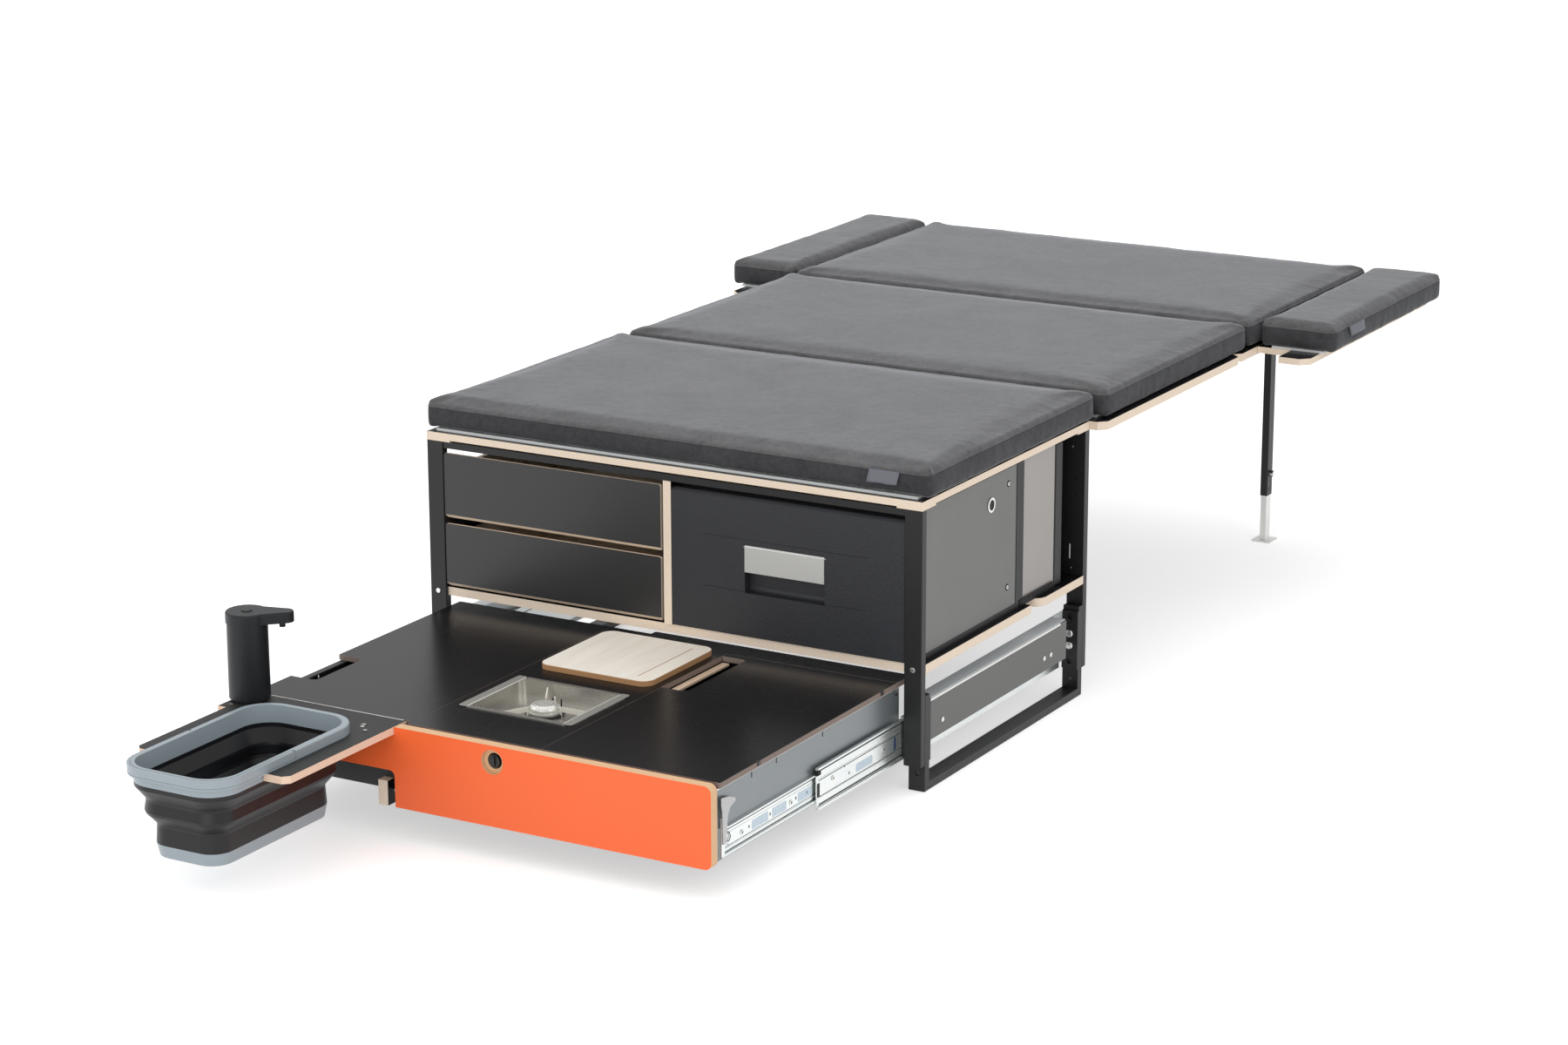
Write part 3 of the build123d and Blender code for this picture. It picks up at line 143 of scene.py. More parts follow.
def makePlies():
    # stacked veneers seen on a cut edge; Axis picks the direction across them
    group, given, out, place = newGroup("plyLayers", [
        ("Vector", "Axis", (0.0, 0.0, 1.0)), ("Float", "Veneer", 0.0026),
        ("Color", "Light", color(0.72, 0.53, 0.37)), ("Color", "Dark", color(0.46, 0.29, 0.19)),
        ("Float", "Contrast", 0.6)],
        [("Color", "Color"), ("Float", "Height")])
    wobbleReach, streakShare = 0.0012, 0.22
    across = vectorNode(group, "DOT_PRODUCT", place, given["Axis"], "Value")
    drift = mathNode(group, "MULTIPLY", noiseNode(group, place, 14.0, Detail=2.0), wobbleReach)
    level = mathNode(group, "DIVIDE", mathNode(group, "ADD", across, drift), given["Veneer"])
    band = remap(group, mathNode(group, "PINGPONG", level, 0.5), 0.12, 0.36)
    streaks = mathNode(group, "MULTIPLY", noiseNode(group, place, 220.0, Detail=3.0), streakShare)
    mask = mathNode(group, "ADD", mathNode(group, "MULTIPLY", band, given["Contrast"]), streaks, True)
    feed(group, out["Color"], mixColors(group, mask, given["Light"], given["Dark"]))
    feed(group, out["Height"], band)
    return group


def makeBirchGrain():
    # long pale figure of a rotary-cut birch face
    group, given, out, place = newGroup("birchGrain", [
        ("Vector", "Stretch", (30.0, 2.2, 30.0)), ("Color", "Light", color(0.86, 0.74, 0.6)),
        ("Color", "Dark", color(0.7, 0.52, 0.36))],
        [("Color", "Color"), ("Float", "Height")])
    scaled = vectorNode(group, "MULTIPLY", place, given["Stretch"], 0)
    figure = noiseNode(group, scaled, 1.4, Detail=7.0, Roughness=0.62, Distortion=0.8)
    mask = remap(group, figure, 0.38, 0.78)
    feed(group, out["Color"], mixColors(group, mask, given["Light"], given["Dark"]))
    feed(group, out["Height"], figure)
    return group


def makeBrushing():
    # drawn streaks and soft clouds for bare, plated and stainless sheet
    group, given, out, place = newGroup("drawnMetal", [
        ("Vector", "Stretch", (400.0, 6.0, 400.0)), ("Color", "Base", color(0.6, 0.6, 0.58)),
        ("Color", "Tint", color(0.5, 0.52, 0.5)), ("Float", "Cloud Scale", 14.0),
        ("Float", "Roughness", 0.28), ("Float", "Spread", 0.2)],
        [("Color", "Color"), ("Float", "Roughness"), ("Float", "Height")])
    scaled = vectorNode(group, "MULTIPLY", place, given["Stretch"], 0)
    streaks = noiseNode(group, scaled, 1.0, Detail=3.0)
    clouds = noiseNode(group, place, given["Cloud Scale"], Detail=3.0)
    feed(group, out["Color"], mixColors(group, clouds, given["Base"], given["Tint"]))
    both = mathNode(group, "SUBTRACT", mathNode(group, "ADD", streaks, clouds), 1.0)
    offset = mathNode(group, "MULTIPLY", both, given["Spread"])
    feed(group, out["Roughness"], mathNode(group, "ADD", offset, given["Roughness"], True))
    feed(group, out["Height"], streaks)
    return group


def makeNap():
    # brushed velour: mottled pile with short streaks and a fine weave under it
    group, given, out, place = newGroup("velourNap", [
        ("Color", "Deep", color(0.05, 0.05, 0.052)), ("Color", "Raised", color(0.12, 0.12, 0.125)),
        ("Float", "Patch Scale", 90.0), ("Float", "Pile Scale", 520.0), ("Float", "Lay Scale", 7.0)],
        [("Color", "Color"), ("Float", "Height")])
    patchShare, pileShare, layShare = 0.42, 0.33, 0.25
    patches = noiseNode(group, place, given["Patch Scale"], Detail=6.0, Roughness=0.72)
    pile = noiseNode(group, place, given["Pile Scale"], Detail=3.0, Roughness=0.7)
    lay = noiseNode(group, place, given["Lay Scale"], Detail=3.0, Roughness=0.6, Distortion=1.2)
    blend = mathNode(group, "ADD", mathNode(group, "MULTIPLY", patches, patchShare),
                     mathNode(group, "MULTIPLY", pile, pileShare))
    blend = mathNode(group, "ADD", blend, mathNode(group, "MULTIPLY", lay, layShare))
    mask = remap(group, blend, 0.36, 0.64)
    feed(group, out["Color"], mixColors(group, mask, given["Deep"], given["Raised"]))
    feed(group, out["Height"], pile)
    return group


speckle = makeSpeckle()
plies = makePlies()
birchGrain = makeBirchGrain()
brushing = makeBrushing()
nap = makeNap()
print("shader groups ready")


# materials

def newMaterial(name):
    material = bpy.data.materials.new(name)
    material.use_nodes = True
    tree = material.node_tree
    return material, tree, tree.nodes["Principled BSDF"]


def groupMaterial(name, group, relief, groupValues, **shaderValues):
    # one placed group feeds the shader; relief is the bump's strength and distance
    material, tree, shader = newMaterial(name)
    placed = addNode(tree, "ShaderNodeGroup", node_tree=group)
    setSockets(placed, **groupValues)
    feed(tree, shader.inputs["Base Color"], placed.outputs["Color"])
    if "Roughness" in placed.outputs:
        feed(tree, shader.inputs["Roughness"], placed.outputs["Roughness"])
    bump = addNode(tree, "ShaderNodeBump")
    setSockets(bump, Strength=relief[0], Distance=relief[1])
    feed(tree, bump.inputs["Height"], placed.outputs["Height"])
    feed(tree, shader.inputs["Normal"], bump.outputs["Normal"])
    setSockets(shader, **shaderValues)
    return material


def speckledMaterial(name, base, tint, rough=0.4, spread=0.1, cloudScale=6.0, peelScale=900.0, peel=0.0002,
                     peelStrength=0.3, specular=0.5, metal=0.0):
    values = {"Base": color(*base), "Tint": color(*tint), "Cloud_Scale": cloudScale, "Peel_Scale": peelScale,
              "Roughness": rough, "Spread": spread}
    return groupMaterial(name, speckle, (peelStrength, peel), values, Specular_IOR_Level=specular,
                         Metallic=metal)


def plyMaterial(name, axis, light, dark, veneer=0.0026, contrast=0.6):
    values = {"Axis": axis, "Veneer": veneer, "Light": color(*light), "Dark": color(*dark),
              "Contrast": contrast}
    return groupMaterial(name, plies, (0.25, 0.0002), values, Roughness=0.62, Specular_IOR_Level=0.3)


def birchMaterial(name, stretch, light, dark):
    values = {"Stretch": stretch, "Light": color(*light), "Dark": color(*dark)}
    return groupMaterial(name, birchGrain, (0.15, 0.0003), values, Roughness=0.55, Specular_IOR_Level=0.35)


def metalMaterial(name, base, tint, stretch, rough=0.28, spread=0.2, cloudScale=14.0, bump=0.1, metal=1.0):
    values = {"Stretch": stretch, "Base": color(*base), "Tint": color(*tint), "Cloud_Scale": cloudScale,
              "Roughness": rough, "Spread": spread}
    return groupMaterial(name, brushing, (bump, 0.0001), values, Metallic=metal)


def velourMaterial(name, deep, raised, sheen=0.6):
    values = {"Deep": color(*deep), "Raised": color(*raised)}
    return groupMaterial(name, nap, (0.35, 0.0006), values, Roughness=0.9, Specular_IOR_Level=0.15,
                         Sheen_Weight=sheen, Sheen_Roughness=0.35, Sheen_Tint=color(0.8, 0.82, 0.86))


speckledLooks = {
    "powderBlack": dict(base=(0.0085, 0.0085, 0.009), tint=(0.014, 0.014, 0.0145), rough=0.44, specular=0.4),
    "coverBlack": dict(base=(0.085, 0.085, 0.083), tint=(0.125, 0.124, 0.12), rough=0.34, cloudScale=3.0,
                       metal=0.45),
    "filmBlack": dict(base=(0.0052, 0.0054, 0.0064), tint=(0.0078, 0.0079, 0.0092), rough=0.27, spread=0.06,
                      cloudScale=3.0, peelScale=500.0, peelStrength=0.05, specular=0.24),
    "filmGrip": dict(base=(0.008, 0.008, 0.008), tint=(0.02, 0.02, 0.02), rough=0.55, peelScale=260.0,
                     peelStrength=0.9, peel=0.0008),
    "frontBlack": dict(base=(0.022, 0.022, 0.022), tint=(0.034, 0.033, 0.033), rough=0.32, cloudScale=2.5,
                       peelScale=500.0),
    "orangeFront": dict(base=(0.98, 0.142, 0.03), tint=(1.0, 0.165, 0.038), rough=0.38, cloudScale=2.0,
                        peelScale=700.0, peelStrength=0.15),
    "trayGrey": dict(base=(0.2, 0.222, 0.234), tint=(0.26, 0.28, 0.293), rough=0.3, cloudScale=4.0,
                     metal=0.5),
    # near black for the tray's inner faces, painted shade of the kitchen's inside
    "trayInsideShade": dict(base=(0.018, 0.019, 0.021), tint=(0.028, 0.03, 0.032), rough=0.5),
    "fridgeDoor": dict(base=(0.014, 0.0148, 0.0188), tint=(0.026, 0.0275, 0.0335), rough=0.5, cloudScale=5.0,
                       peelScale=420.0, peelStrength=0.8, peel=0.0006),
    "fridgeSide": dict(base=(0.09, 0.09, 0.088), tint=(0.175, 0.175, 0.17), rough=0.36, cloudScale=3.2,
                       metal=0.45),
    "fridgeBlack": dict(base=(0.006, 0.006, 0.007), tint=(0.011, 0.011, 0.012), rough=0.4, specular=0.25),
    "coolerGrey": dict(base=(0.29, 0.268, 0.25), tint=(0.38, 0.36, 0.345), rough=0.4, cloudScale=3.0,
                       metal=0.35),
    "tapBlack": dict(base=(0.009, 0.01, 0.0125), tint=(0.013, 0.015, 0.018), rough=0.42, peelScale=1400.0,
                     specular=0.35),
    "bucketGrey": dict(base=(0.31, 0.365, 0.4), tint=(0.35, 0.41, 0.445), rough=0.34, cloudScale=4.0),
    "bucketBlack": dict(base=(0.007, 0.007, 0.0085), tint=(0.012, 0.012, 0.013), rough=0.36, cloudScale=5.0,
                        peelScale=300.0, specular=0.35),
    "knobBlack": dict(base=(0.009, 0.009, 0.009), tint=(0.015, 0.015, 0.015), rough=0.35),
    "sheetGrey": dict(base=(0.56, 0.58, 0.58), tint=(0.66, 0.67, 0.67), rough=0.5),
    "tagGrey": dict(base=(0.12, 0.125, 0.15), tint=(0.17, 0.175, 0.2), rough=0.6, peelScale=1500.0,
                    peelStrength=0.8),
    # near black: painted shade in holes, sockets, grooves, wells and hollows, and the own colour of the
    # rubber bumpers and spring hooks
    "holeShadeAndBlack": dict(base=(0.004, 0.004, 0.004), tint=(0.008, 0.008, 0.008), rough=0.7),
    "filmBlue": dict(base=(0.46, 0.56, 0.66), tint=(0.58, 0.67, 0.74), rough=0.2, cloudScale=40.0,
                     metal=0.3),
    "clipBlue": dict(base=(0.02, 0.04, 0.08), tint=(0.03, 0.06, 0.11), rough=0.4),
    "leverGrey": dict(base=(0.46, 0.46, 0.46), tint=(0.56, 0.56, 0.56), rough=0.36, metal=0.2),
    "slotPale": dict(base=(0.8, 0.8, 0.8), tint=(0.86, 0.86, 0.86), rough=0.5),
    "supportCream": dict(base=(0.74, 0.71, 0.62), tint=(0.84, 0.81, 0.72), rough=0.4, metal=0.2),
}
plyLooks = {
    "edgeFlat": dict(axis=(0, 0, 1), light=(0.97, 0.85, 0.71), dark=(0.76, 0.58, 0.43)),
    "edgeFront": dict(axis=(0, 1, 0), light=(0.95, 0.79, 0.62), dark=(0.68, 0.5, 0.36)),
    "edgeSide": dict(axis=(1, 0, 0), light=(0.97, 0.85, 0.71), dark=(0.76, 0.58, 0.43)),
    "edgeOrange": dict(axis=(0, 1, 0), light=(0.84, 0.55, 0.32), dark=(0.6, 0.37, 0.2), contrast=0.35,
                       veneer=0.004),
    "edgeFlap": dict(axis=(0, 0, 1), light=(0.96, 0.73, 0.57), dark=(0.72, 0.49, 0.36)),
    "edgeLid": dict(axis=(0, 0, 1), light=(0.29, 0.23, 0.2), dark=(0.16, 0.12, 0.1)),
    "burntEdge": dict(axis=(0, 0, 1), light=(0.5, 0.28, 0.13), dark=(0.33, 0.17, 0.08), contrast=0.3),
}
birchLooks = {
    "batten": dict(stretch=(30.0, 2.2, 30.0), light=(0.9, 0.72, 0.54), dark=(0.74, 0.54, 0.38)),
    "birchBoard": dict(stretch=(30.0, 2.2, 30.0), light=(0.95, 0.9, 0.82), dark=(0.86, 0.77, 0.65)),
    "birchBox": dict(stretch=(4.0, 3.0, 22.0), light=(0.86, 0.76, 0.64), dark=(0.72, 0.56, 0.42)),
}
metalLooks = {
    "zinc": dict(base=(0.86, 0.87, 0.84), tint=(0.74, 0.8, 0.82), stretch=(300.0, 5.0, 300.0), rough=0.24,
                 spread=0.12, metal=0.85),
    # pale zinc of the leg feet, also used for the strips that are painted highlights on folds and along the
    # stove's rim
    "footZincAndHighlight": dict(base=(0.93, 0.92, 0.89), tint=(0.88, 0.88, 0.86), stretch=(40.0, 40.0, 5.0), rough=0.4,
                     spread=0.1, metal=0.35),
    "beamZinc": dict(base=(0.86, 0.9, 0.91), tint=(0.78, 0.83, 0.85), stretch=(300.0, 5.0, 300.0),
                     rough=0.34, spread=0.1, bump=0.03, metal=0.25),
    "boltZinc": dict(base=(0.78, 0.77, 0.73), tint=(0.62, 0.62, 0.61), stretch=(60.0, 60.0, 60.0),
                     rough=0.24),
    "stainless": dict(base=(0.66, 0.64, 0.59), tint=(0.46, 0.45, 0.41), stretch=(5.0, 160.0, 160.0),
                      rough=0.26, spread=0.1, cloudScale=9.0, bump=0.04, metal=0.78),
    "stoveFlange": dict(base=(0.44, 0.43, 0.4), tint=(0.35, 0.345, 0.32), stretch=(5.0, 160.0, 160.0),
                        rough=0.32, spread=0.1, bump=0.03, metal=0.4),
    "burnerSteel": dict(base=(0.92, 0.91, 0.86), tint=(0.74, 0.73, 0.69), stretch=(80.0, 80.0, 80.0),
                        rough=0.26, cloudScale=60.0, metal=0.5),
    "handleSilver": dict(base=(0.74, 0.74, 0.72), tint=(0.64, 0.65, 0.63), stretch=(3.0, 300.0, 300.0),
                         rough=0.34, spread=0.1, metal=0.7),
    "brass": dict(base=(0.6, 0.48, 0.3), tint=(0.48, 0.38, 0.26), stretch=(60.0, 60.0, 60.0), rough=0.3),
}
velourLooks = {
    "velour": dict(deep=(0.066, 0.066, 0.068), raised=(0.142, 0.142, 0.145)),
    # the same velour made darker for the cover's sides, painted shade
    "velourSideShade": dict(deep=(0.034, 0.034, 0.037), raised=(0.074, 0.074, 0.078), sheen=0.4),
}

looks = {}
for makeLook, table in ((speckledMaterial, speckledLooks), (plyMaterial, plyLooks),
                        (birchMaterial, birchLooks), (metalMaterial, metalLooks),
                        (velourMaterial, velourLooks)):
    for name, values in table.items():
        looks[name] = makeLook(name, **values)
print("materials ready:", len(looks))


# the box's own millimetres: x from its middle, y from its front, z from the floor

boxOrigin = Vector((-0.012, -0.440, 0.0))
millimetre = 0.001


def spot(x, y, z):
    return boxOrigin + Vector((x, y, z)) * millimetre


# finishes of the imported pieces

wholeFinish = {
    "powderBlack": ["front_posts", "rear_posts", "top_rails", "foot_loops", "beam_brackets", "side_panels",
                    "leg_frame"],
    "coverBlack": ["beam_covers"],
    "beamZinc": ["slide_beams"],
    "zinc": ["slide_outer_members", "slide_middle_members", "slide_inner_members", "leg_brackets",
             "drawer_runners"],
    "footZincAndHighlight": ["left_leg_foot", "right_leg_foot"],
    "boltZinc": ["frame_bolts", "flap_hinges", "left_lock_button", "right_lock_button"],
    "trayGrey": ["kitchen_tray"],
    "stainless": ["stove_tray"],
    "burnerSteel": ["burner"],
    "supportCream": ["pan_supports"],
    "knobBlack": ["latch_knob", "gas_knob"],
    "tapBlack": ["tap_body", "tap_button"],
    "fridgeDoor": ["fridge_door"],
    "fridgeBlack": ["fridge_bin"],
    "fridgeSide": ["fridge_cabinet"],
    "coolerGrey": ["fridge_cooler"],
    "handleSilver": ["fridge_handle"],
    "bucketGrey": ["bucket_rim", "bucket_base", "bucket_handle"],
    "bucketBlack": ["bucket_bellows"],
    "birchBox": ["upper_drawer_box", "lower_drawer_box"],
}
# a board's film or birch face, its cut edge, and the axis that its face looks along
boardFinish = {
    ("filmBlack", "edgeFlat", 2): ["top_board", "middle_board", "head_board", "left_wing_board",
                                   "right_wing_board", "shelf_board", "rear_shelf_board"],
    ("filmBlack", "edgeLid", 2): ["left_lid", "centre_lid", "right_lid"],
    ("filmGrip", "edgeFlap", 2): ["flap_board"],
    ("birchBoard", "burntEdge", 2): ["cutting_board"],
    ("frontBlack", "edgeFront", 1): ["upper_drawer_front", "lower_drawer_front"],
    ("filmBlack", "edgeSide", 0): ["divider_board"],
    ("orangeFront", "edgeOrange", 1): ["kitchen_front"],
}
# where single faces get a finish of their own, in metres
paintLimits = {
    "flatFace": 0.95, "sideFace": 0.9,     # how straight a face looks along its axis
    "latch": (0.032, 0.160, 0.0205),       # x, z and radius of the latch's hole
    "frontSkin": 0.004,                    # faces this far behind the orange film are bare ply
    "block": (spot(-174.5, -592, 50), spot(-141.5, -580, 101.5)),
    "rivets": 0.4776,                      # a cover's faces beyond this half width are rivets
    "louvre": 0.03,
    "trayWall": 0.0015,
    "spoutDrop": 0.0181, "spoutReach": 0.09,
    "boardTop": 0.1873,
}


def dress(node, *names):
    mesh = cadNodes[node].data
    mesh.materials.clear()
    for name in names:
        mesh.materials.append(looks[name])
    return mesh


def repaint(node, look, test):
    # gives the faces that pass the test a finish of their own
    mesh = cadNodes[node].data
    mesh.materials.append(looks[look])
    index = len(mesh.materials) - 1
    for polygon in mesh.polygons:
        if test(polygon.center, polygon.normal):
            polygon.material_index = index


for look, names in wholeFinish.items():
    for node in names:
        dress(node, look)
for (face, edge, axis), names in boardFinish.items():
    for node in names:
        for polygon in dress(node, face, edge).polygons:
            flat = abs(polygon.normal[axis]) > paintLimits["flatFace"]
            polygon.material_index = 0 if flat else 1


def dressDetails():
    make = paintLimits
    x, z, radius = make["latch"]
    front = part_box("kitchen_front")[0].y + make["frontSkin"]
    repaint("kitchen_front", "edgeOrange",
            lambda place, normal: normal.y < -make["sideFace"] and place.y > front
            and (Vector((place.x, 0, place.z)) - Vector((x, 0, z))).length < radius)
    blockLow, blockHigh = make["block"]

    def onBlock(place, normal, film):
        inside = blockLow.x < place.x < blockHigh.x and place.z < blockHigh.z
        return inside and (abs(normal.x) >= make["sideFace"]) == film

    repaint("kitchen_front", "edgeSide", lambda place, normal: onBlock(place, normal, False))
    repaint("kitchen_front", "filmBlack", lambda place, normal: onBlock(place, normal, True))
    repaint("beam_covers", "boltZinc", lambda place, normal: abs(place.x - boxOrigin.x) > make["rivets"])
    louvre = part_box("fridge_cooler")[0].y + make["louvre"]
    repaint("fridge_cooler", "fridgeBlack", lambda place, normal: place.y < louvre)
    # the tray's faces between its outer side walls are painted near black as shade
    trayLow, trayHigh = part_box("kitchen_tray")
    repaint("kitchen_tray", "trayInsideShade",
            lambda place, normal: trayLow.x + make["trayWall"] < place.x < trayHigh.x - make["trayWall"])
    tapLow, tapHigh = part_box("tap_body")
    repaint("tap_body", "brass",
            lambda place, normal: place.z < tapHigh.z - make["spoutDrop"]
            and place.x > tapLow.x + make["spoutReach"])
    repaint("flap_board", "boltZinc", lambda place, normal: place.z > make["boardTop"])


dressDetails()
print("packed pieces dressed")


# mesh helpers

def placeObject(name, data):
    piece = bpy.data.objects.new(name, data)
    bpy.context.scene.collection.objects.link(piece)
    return piece


def shapeObject(name, shape):
    mesh = bpy.data.meshes.new(name)
    shape.to_mesh(mesh)
    shape.free()
    return placeObject(name, mesh)


def finishPiece(piece, look, body, smooth=False):
    piece.data.materials.append(looks[look])
    for polygon in piece.data.polygons:
        polygon.use_smooth = smooth
    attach(piece, body)


def boxShape(low, high):
    shape = bmesh.new()
    bmesh.ops.create_cube(shape, size=1.0)
    low, high = Vector(low), Vector(high)
    for vertex in shape.verts:
        vertex.co = Vector(((a + b) / 2 + c * (b - a) for a, b, c in zip(low, high, vertex.co)))
    return shape


def roundEdges(shape, edges, offset, segments=2):
    bmesh.ops.bevel(shape, geom=edges, offset=offset, segments=segments, affect="EDGES", profile=0.5)


def polyWire(name, points, radius, fineness):
    curve = bpy.data.curves.new(name, "CURVE")
    curve.dimensions = "3D"
    curve.bevel_depth = radius
    curve.bevel_resolution = fineness
    spline = curve.splines.new("POLY")
    spline.points.add(len(points) - 1)
    for point, place in zip(spline.points, points):
        point.co = (*place, 1.0)
    return curve, spline


# small fittings, in the box's millimetres

def circleOutline(a, b, radius, steps=28):
    return [(a + radius * math.cos(math.tau * k / steps), b + radius * math.sin(math.tau * k / steps))
            for k in range(steps)]


def roundedOutline(a0, a1, b0, b1, radius, steps=4):
    corners = ((a1 - radius, b0 + radius, -90), (a1 - radius, b1 - radius, 0),
               (a0 + radius, b1 - radius, 90), (a0 + radius, b0 + radius, 180))
    turn = 90 / steps
    return [(a + radius * math.cos(math.radians(start + turn * k)),
             b + radius * math.sin(math.radians(start + turn * k)))
            for a, b, start in corners for k in range(steps + 1)]


def addPrism(shape, side, axis, outline, start, end, bevel=0.0, inner=None):
    # an outline drawn out along one axis; a second outline of as many points makes it a ring
    def at(pair, along):
        x, y, z = {"x": (along, *pair), "y": (pair[0], along, pair[1]), "z": (*pair, along)}[axis]
        return shape.verts.new(spot(side * x, y, z))

    def wall(first, second):
        return [shape.faces.new((first[k - 1], first[k], second[k], second[k - 1]))
                for k in range(len(first))]

    near = [at(pair, start) for pair in outline]
    far = [at(pair, end) for pair in outline]
    faces = wall(near, far)
    if inner:
        nearInner = [at(pair, start) for pair in inner]
        farInner = [at(pair, end) for pair in inner]
        faces += wall(nearInner, farInner) + wall(near, nearInner) + wall(far, farInner)
    else:
        faces += [shape.faces.new(near), shape.faces.new(far)]
    bmesh.ops.recalc_face_normals(shape, faces=faces)
    if bevel:
        rims = [shape.edges.get((ring[k - 1], ring[k])) for ring in (near, far) for k in range(len(ring))]
        roundEdges(shape, rims, bevel * millimetre)


def fitting(name, look, body, prisms, bothSides=False):
    # one piece from its prisms, with a mirror image of each on the other side where asked
    shape = bmesh.new()
    for side in (1, -1) if bothSides else (1,):
        for prism in prisms:
            addPrism(shape, side, *prism)
    finishPiece(shapeObject(name, shape), look, body)


def flatPlate(name, look, body, extent):
    # x and y limits, corner radius, bottom, top and edge radius
    *outline, bottom, top, bevel = extent
    fitting(name, look, body, [("z", roundedOutline(*outline), bottom, top, bevel)])


def paleFoldHighlight(name, body, extent):
    # a pale rolled edge on both sides, drawn as a painted highlight along a fold: x, z, radius, front and
    # back
    x, z, radius, front, back = extent
    fitting(name, "footZincAndHighlight", body, [("y", circleOutline(x, z, radius, 14), front, back, 0.3)], True)


# in parts of the head's radius
screwMake = {"rise": 0.35, "bevel": 0.14, "socket": 0.45, "socketRise": 0.38}


def screws(name, body, axis, face, out, extent, bothSides=False):
    # flat heads with a six-sided socket painted dark as its shade, out of a face by a little; extent is
    # radius and places
    radius, *places = extent
    heads = [(axis, circleOutline(a, b, radius), face, face + out * radius * screwMake["rise"],
              radius * screwMake["bevel"]) for a, b in places]
    sockets = [(axis, circleOutline(a, b, radius * screwMake["socket"], 6), face,
                face + out * radius * screwMake["socketRise"]) for a, b in places]
    fitting(name, "boltZinc", body, heads, bothSides)
    fitting(name + "Socket", "holeShadeAndBlack", body, sockets, bothSides)


innerSlide = {
    "web": 437.0, "front": -563.0, "back": 7.0,
    "rails": ((438.2, 109.6, 1.8), (438.2, 68.4, 1.8)),          # x, z, radius
    "ribs": ((100.0, 1.0), (76.5, 0.9)),                         # z, radius
    "grooves": ((105.2, 107.0), (79.0, 80.0), (71.0, 72.6)),
    "film": ((-470.0, -420.0), (-408.0, -364.0), (-328.0, -285.0), (-262.0, -246.0)),
    "filmHeight": (82.0, 97.0),
    "screws": (4.2, (-500.0, 88.0), (-350.0, 89.0), (-235.0, 85.0)),
    "holes": ((-478.0, 90.0), (-414.0, 90.0), (-334.0, 91.0), (-300.0, 90.0)),
}
middleSlide = {
    "web": 442.3, "front": -277.0, "back": 5.0,
    "rails": ((443.3, 121.2, 2.3), (443.3, 56.8, 2.3)),
    "ribs": ((103.0, 1.1), (72.0, 1.1)),
    "grooves": ((115.5, 118.2), (100.2, 101.4), (73.6, 74.6), (60.0, 62.4)),
    "film": ((-150.0, -95.0),),
    "filmHeight": (78.0, 92.0),
    "screws": (4.2, (-226.0, 92.0), (-60.0, 90.0)),
    "holes": ((-188.0, 101.0), (-172.0, 84.0)),
}
slideMake = {     # what the two share
    "skin": 0.12, "ribStart": 4, "filmCorner": 2.5,
    "hole": (1.2, 2.5, 0.8),      # half width, half height and corner radius
    "groove": (6, 2, 0.4),        # shorter at the front and the back by this, and corner radius
}


def slideTrim(name, body, make):
    web, front, back = make["web"], make["front"], make["back"]
    skin = slideMake["skin"]
    bars = [("y", circleOutline(x, z, radius, 16), front, back, 0.3) for x, z, radius in make["rails"]]
    start = front + slideMake["ribStart"]
    bars += [("y", circleOutline(web, z, radius, 12), start, back, 0.2) for z, radius in make["ribs"]]
    fitting(name + "Rails", "zinc", body, bars, True)
    low, high = make["filmHeight"]
    corner = slideMake["filmCorner"]
    fitting(name + "Film", "filmBlue", body,
            [("x", roundedOutline(y0, y1, low, high, corner), web, web + skin)
             for y0, y1 in make["film"]], True)
    # the web's holes and grooves are near-black plates, painted shade
    a, b, corner = slideMake["hole"]
    dark = [("x", roundedOutline(y - a, y + a, z - b, z + b, corner), web, web + skin * 2)
            for y, z in make["holes"]]
    first, last, corner = slideMake["groove"]
    dark += [("x", roundedOutline(front + first, back - last, z0, z1, corner), web, web + skin)
             for z0, z1 in make["grooves"]]
    fitting(name + "Slots", "holeShadeAndBlack", body, dark, True)
    screws(name + "Screws", body, "x", web, 1, make["screws"], True)


slideTrim("innerSlide", "kitchen", innerSlide)
slideTrim("middleSlide", "kitchen_slides", middleSlide)

slideEnds = {
    "lever": ((-566, 163), (-545, 160), (-526, 153), (-524, 148), (-527, 146.5), (-540, 142), (-547, 132),
              (-550, 112), (-552, 88), (-561, 87), (-562, 112), (-563, 140), (-566, 150)),
    "leverFaces": (439.9, 441.4),
    "bumper": (442.0, 115.0, 5.0, -278.5, -270.5),     # x, z, radius, front, back
    "hollow": (-276.5, -268.0, 74.0, 97.0, 2.0), "hollowRise": 0.2,
    "clip": (-24.0, -17.0, 77.0, 99.0, 1.5), "clipRise": 1.2,
    "screws": (3.0, (-541.0, 80.0), (-556.0, 99.0)),
    "hook": ((438.4, -560, 104), (438.6, -549, 105.5), (438.6, -540, 101), (438.6, -536, 93),
             (438.6, -541, 87), (438.6, -549, 89), (438.5, -553, 95)),
    "hookRadius": 0.7,
}


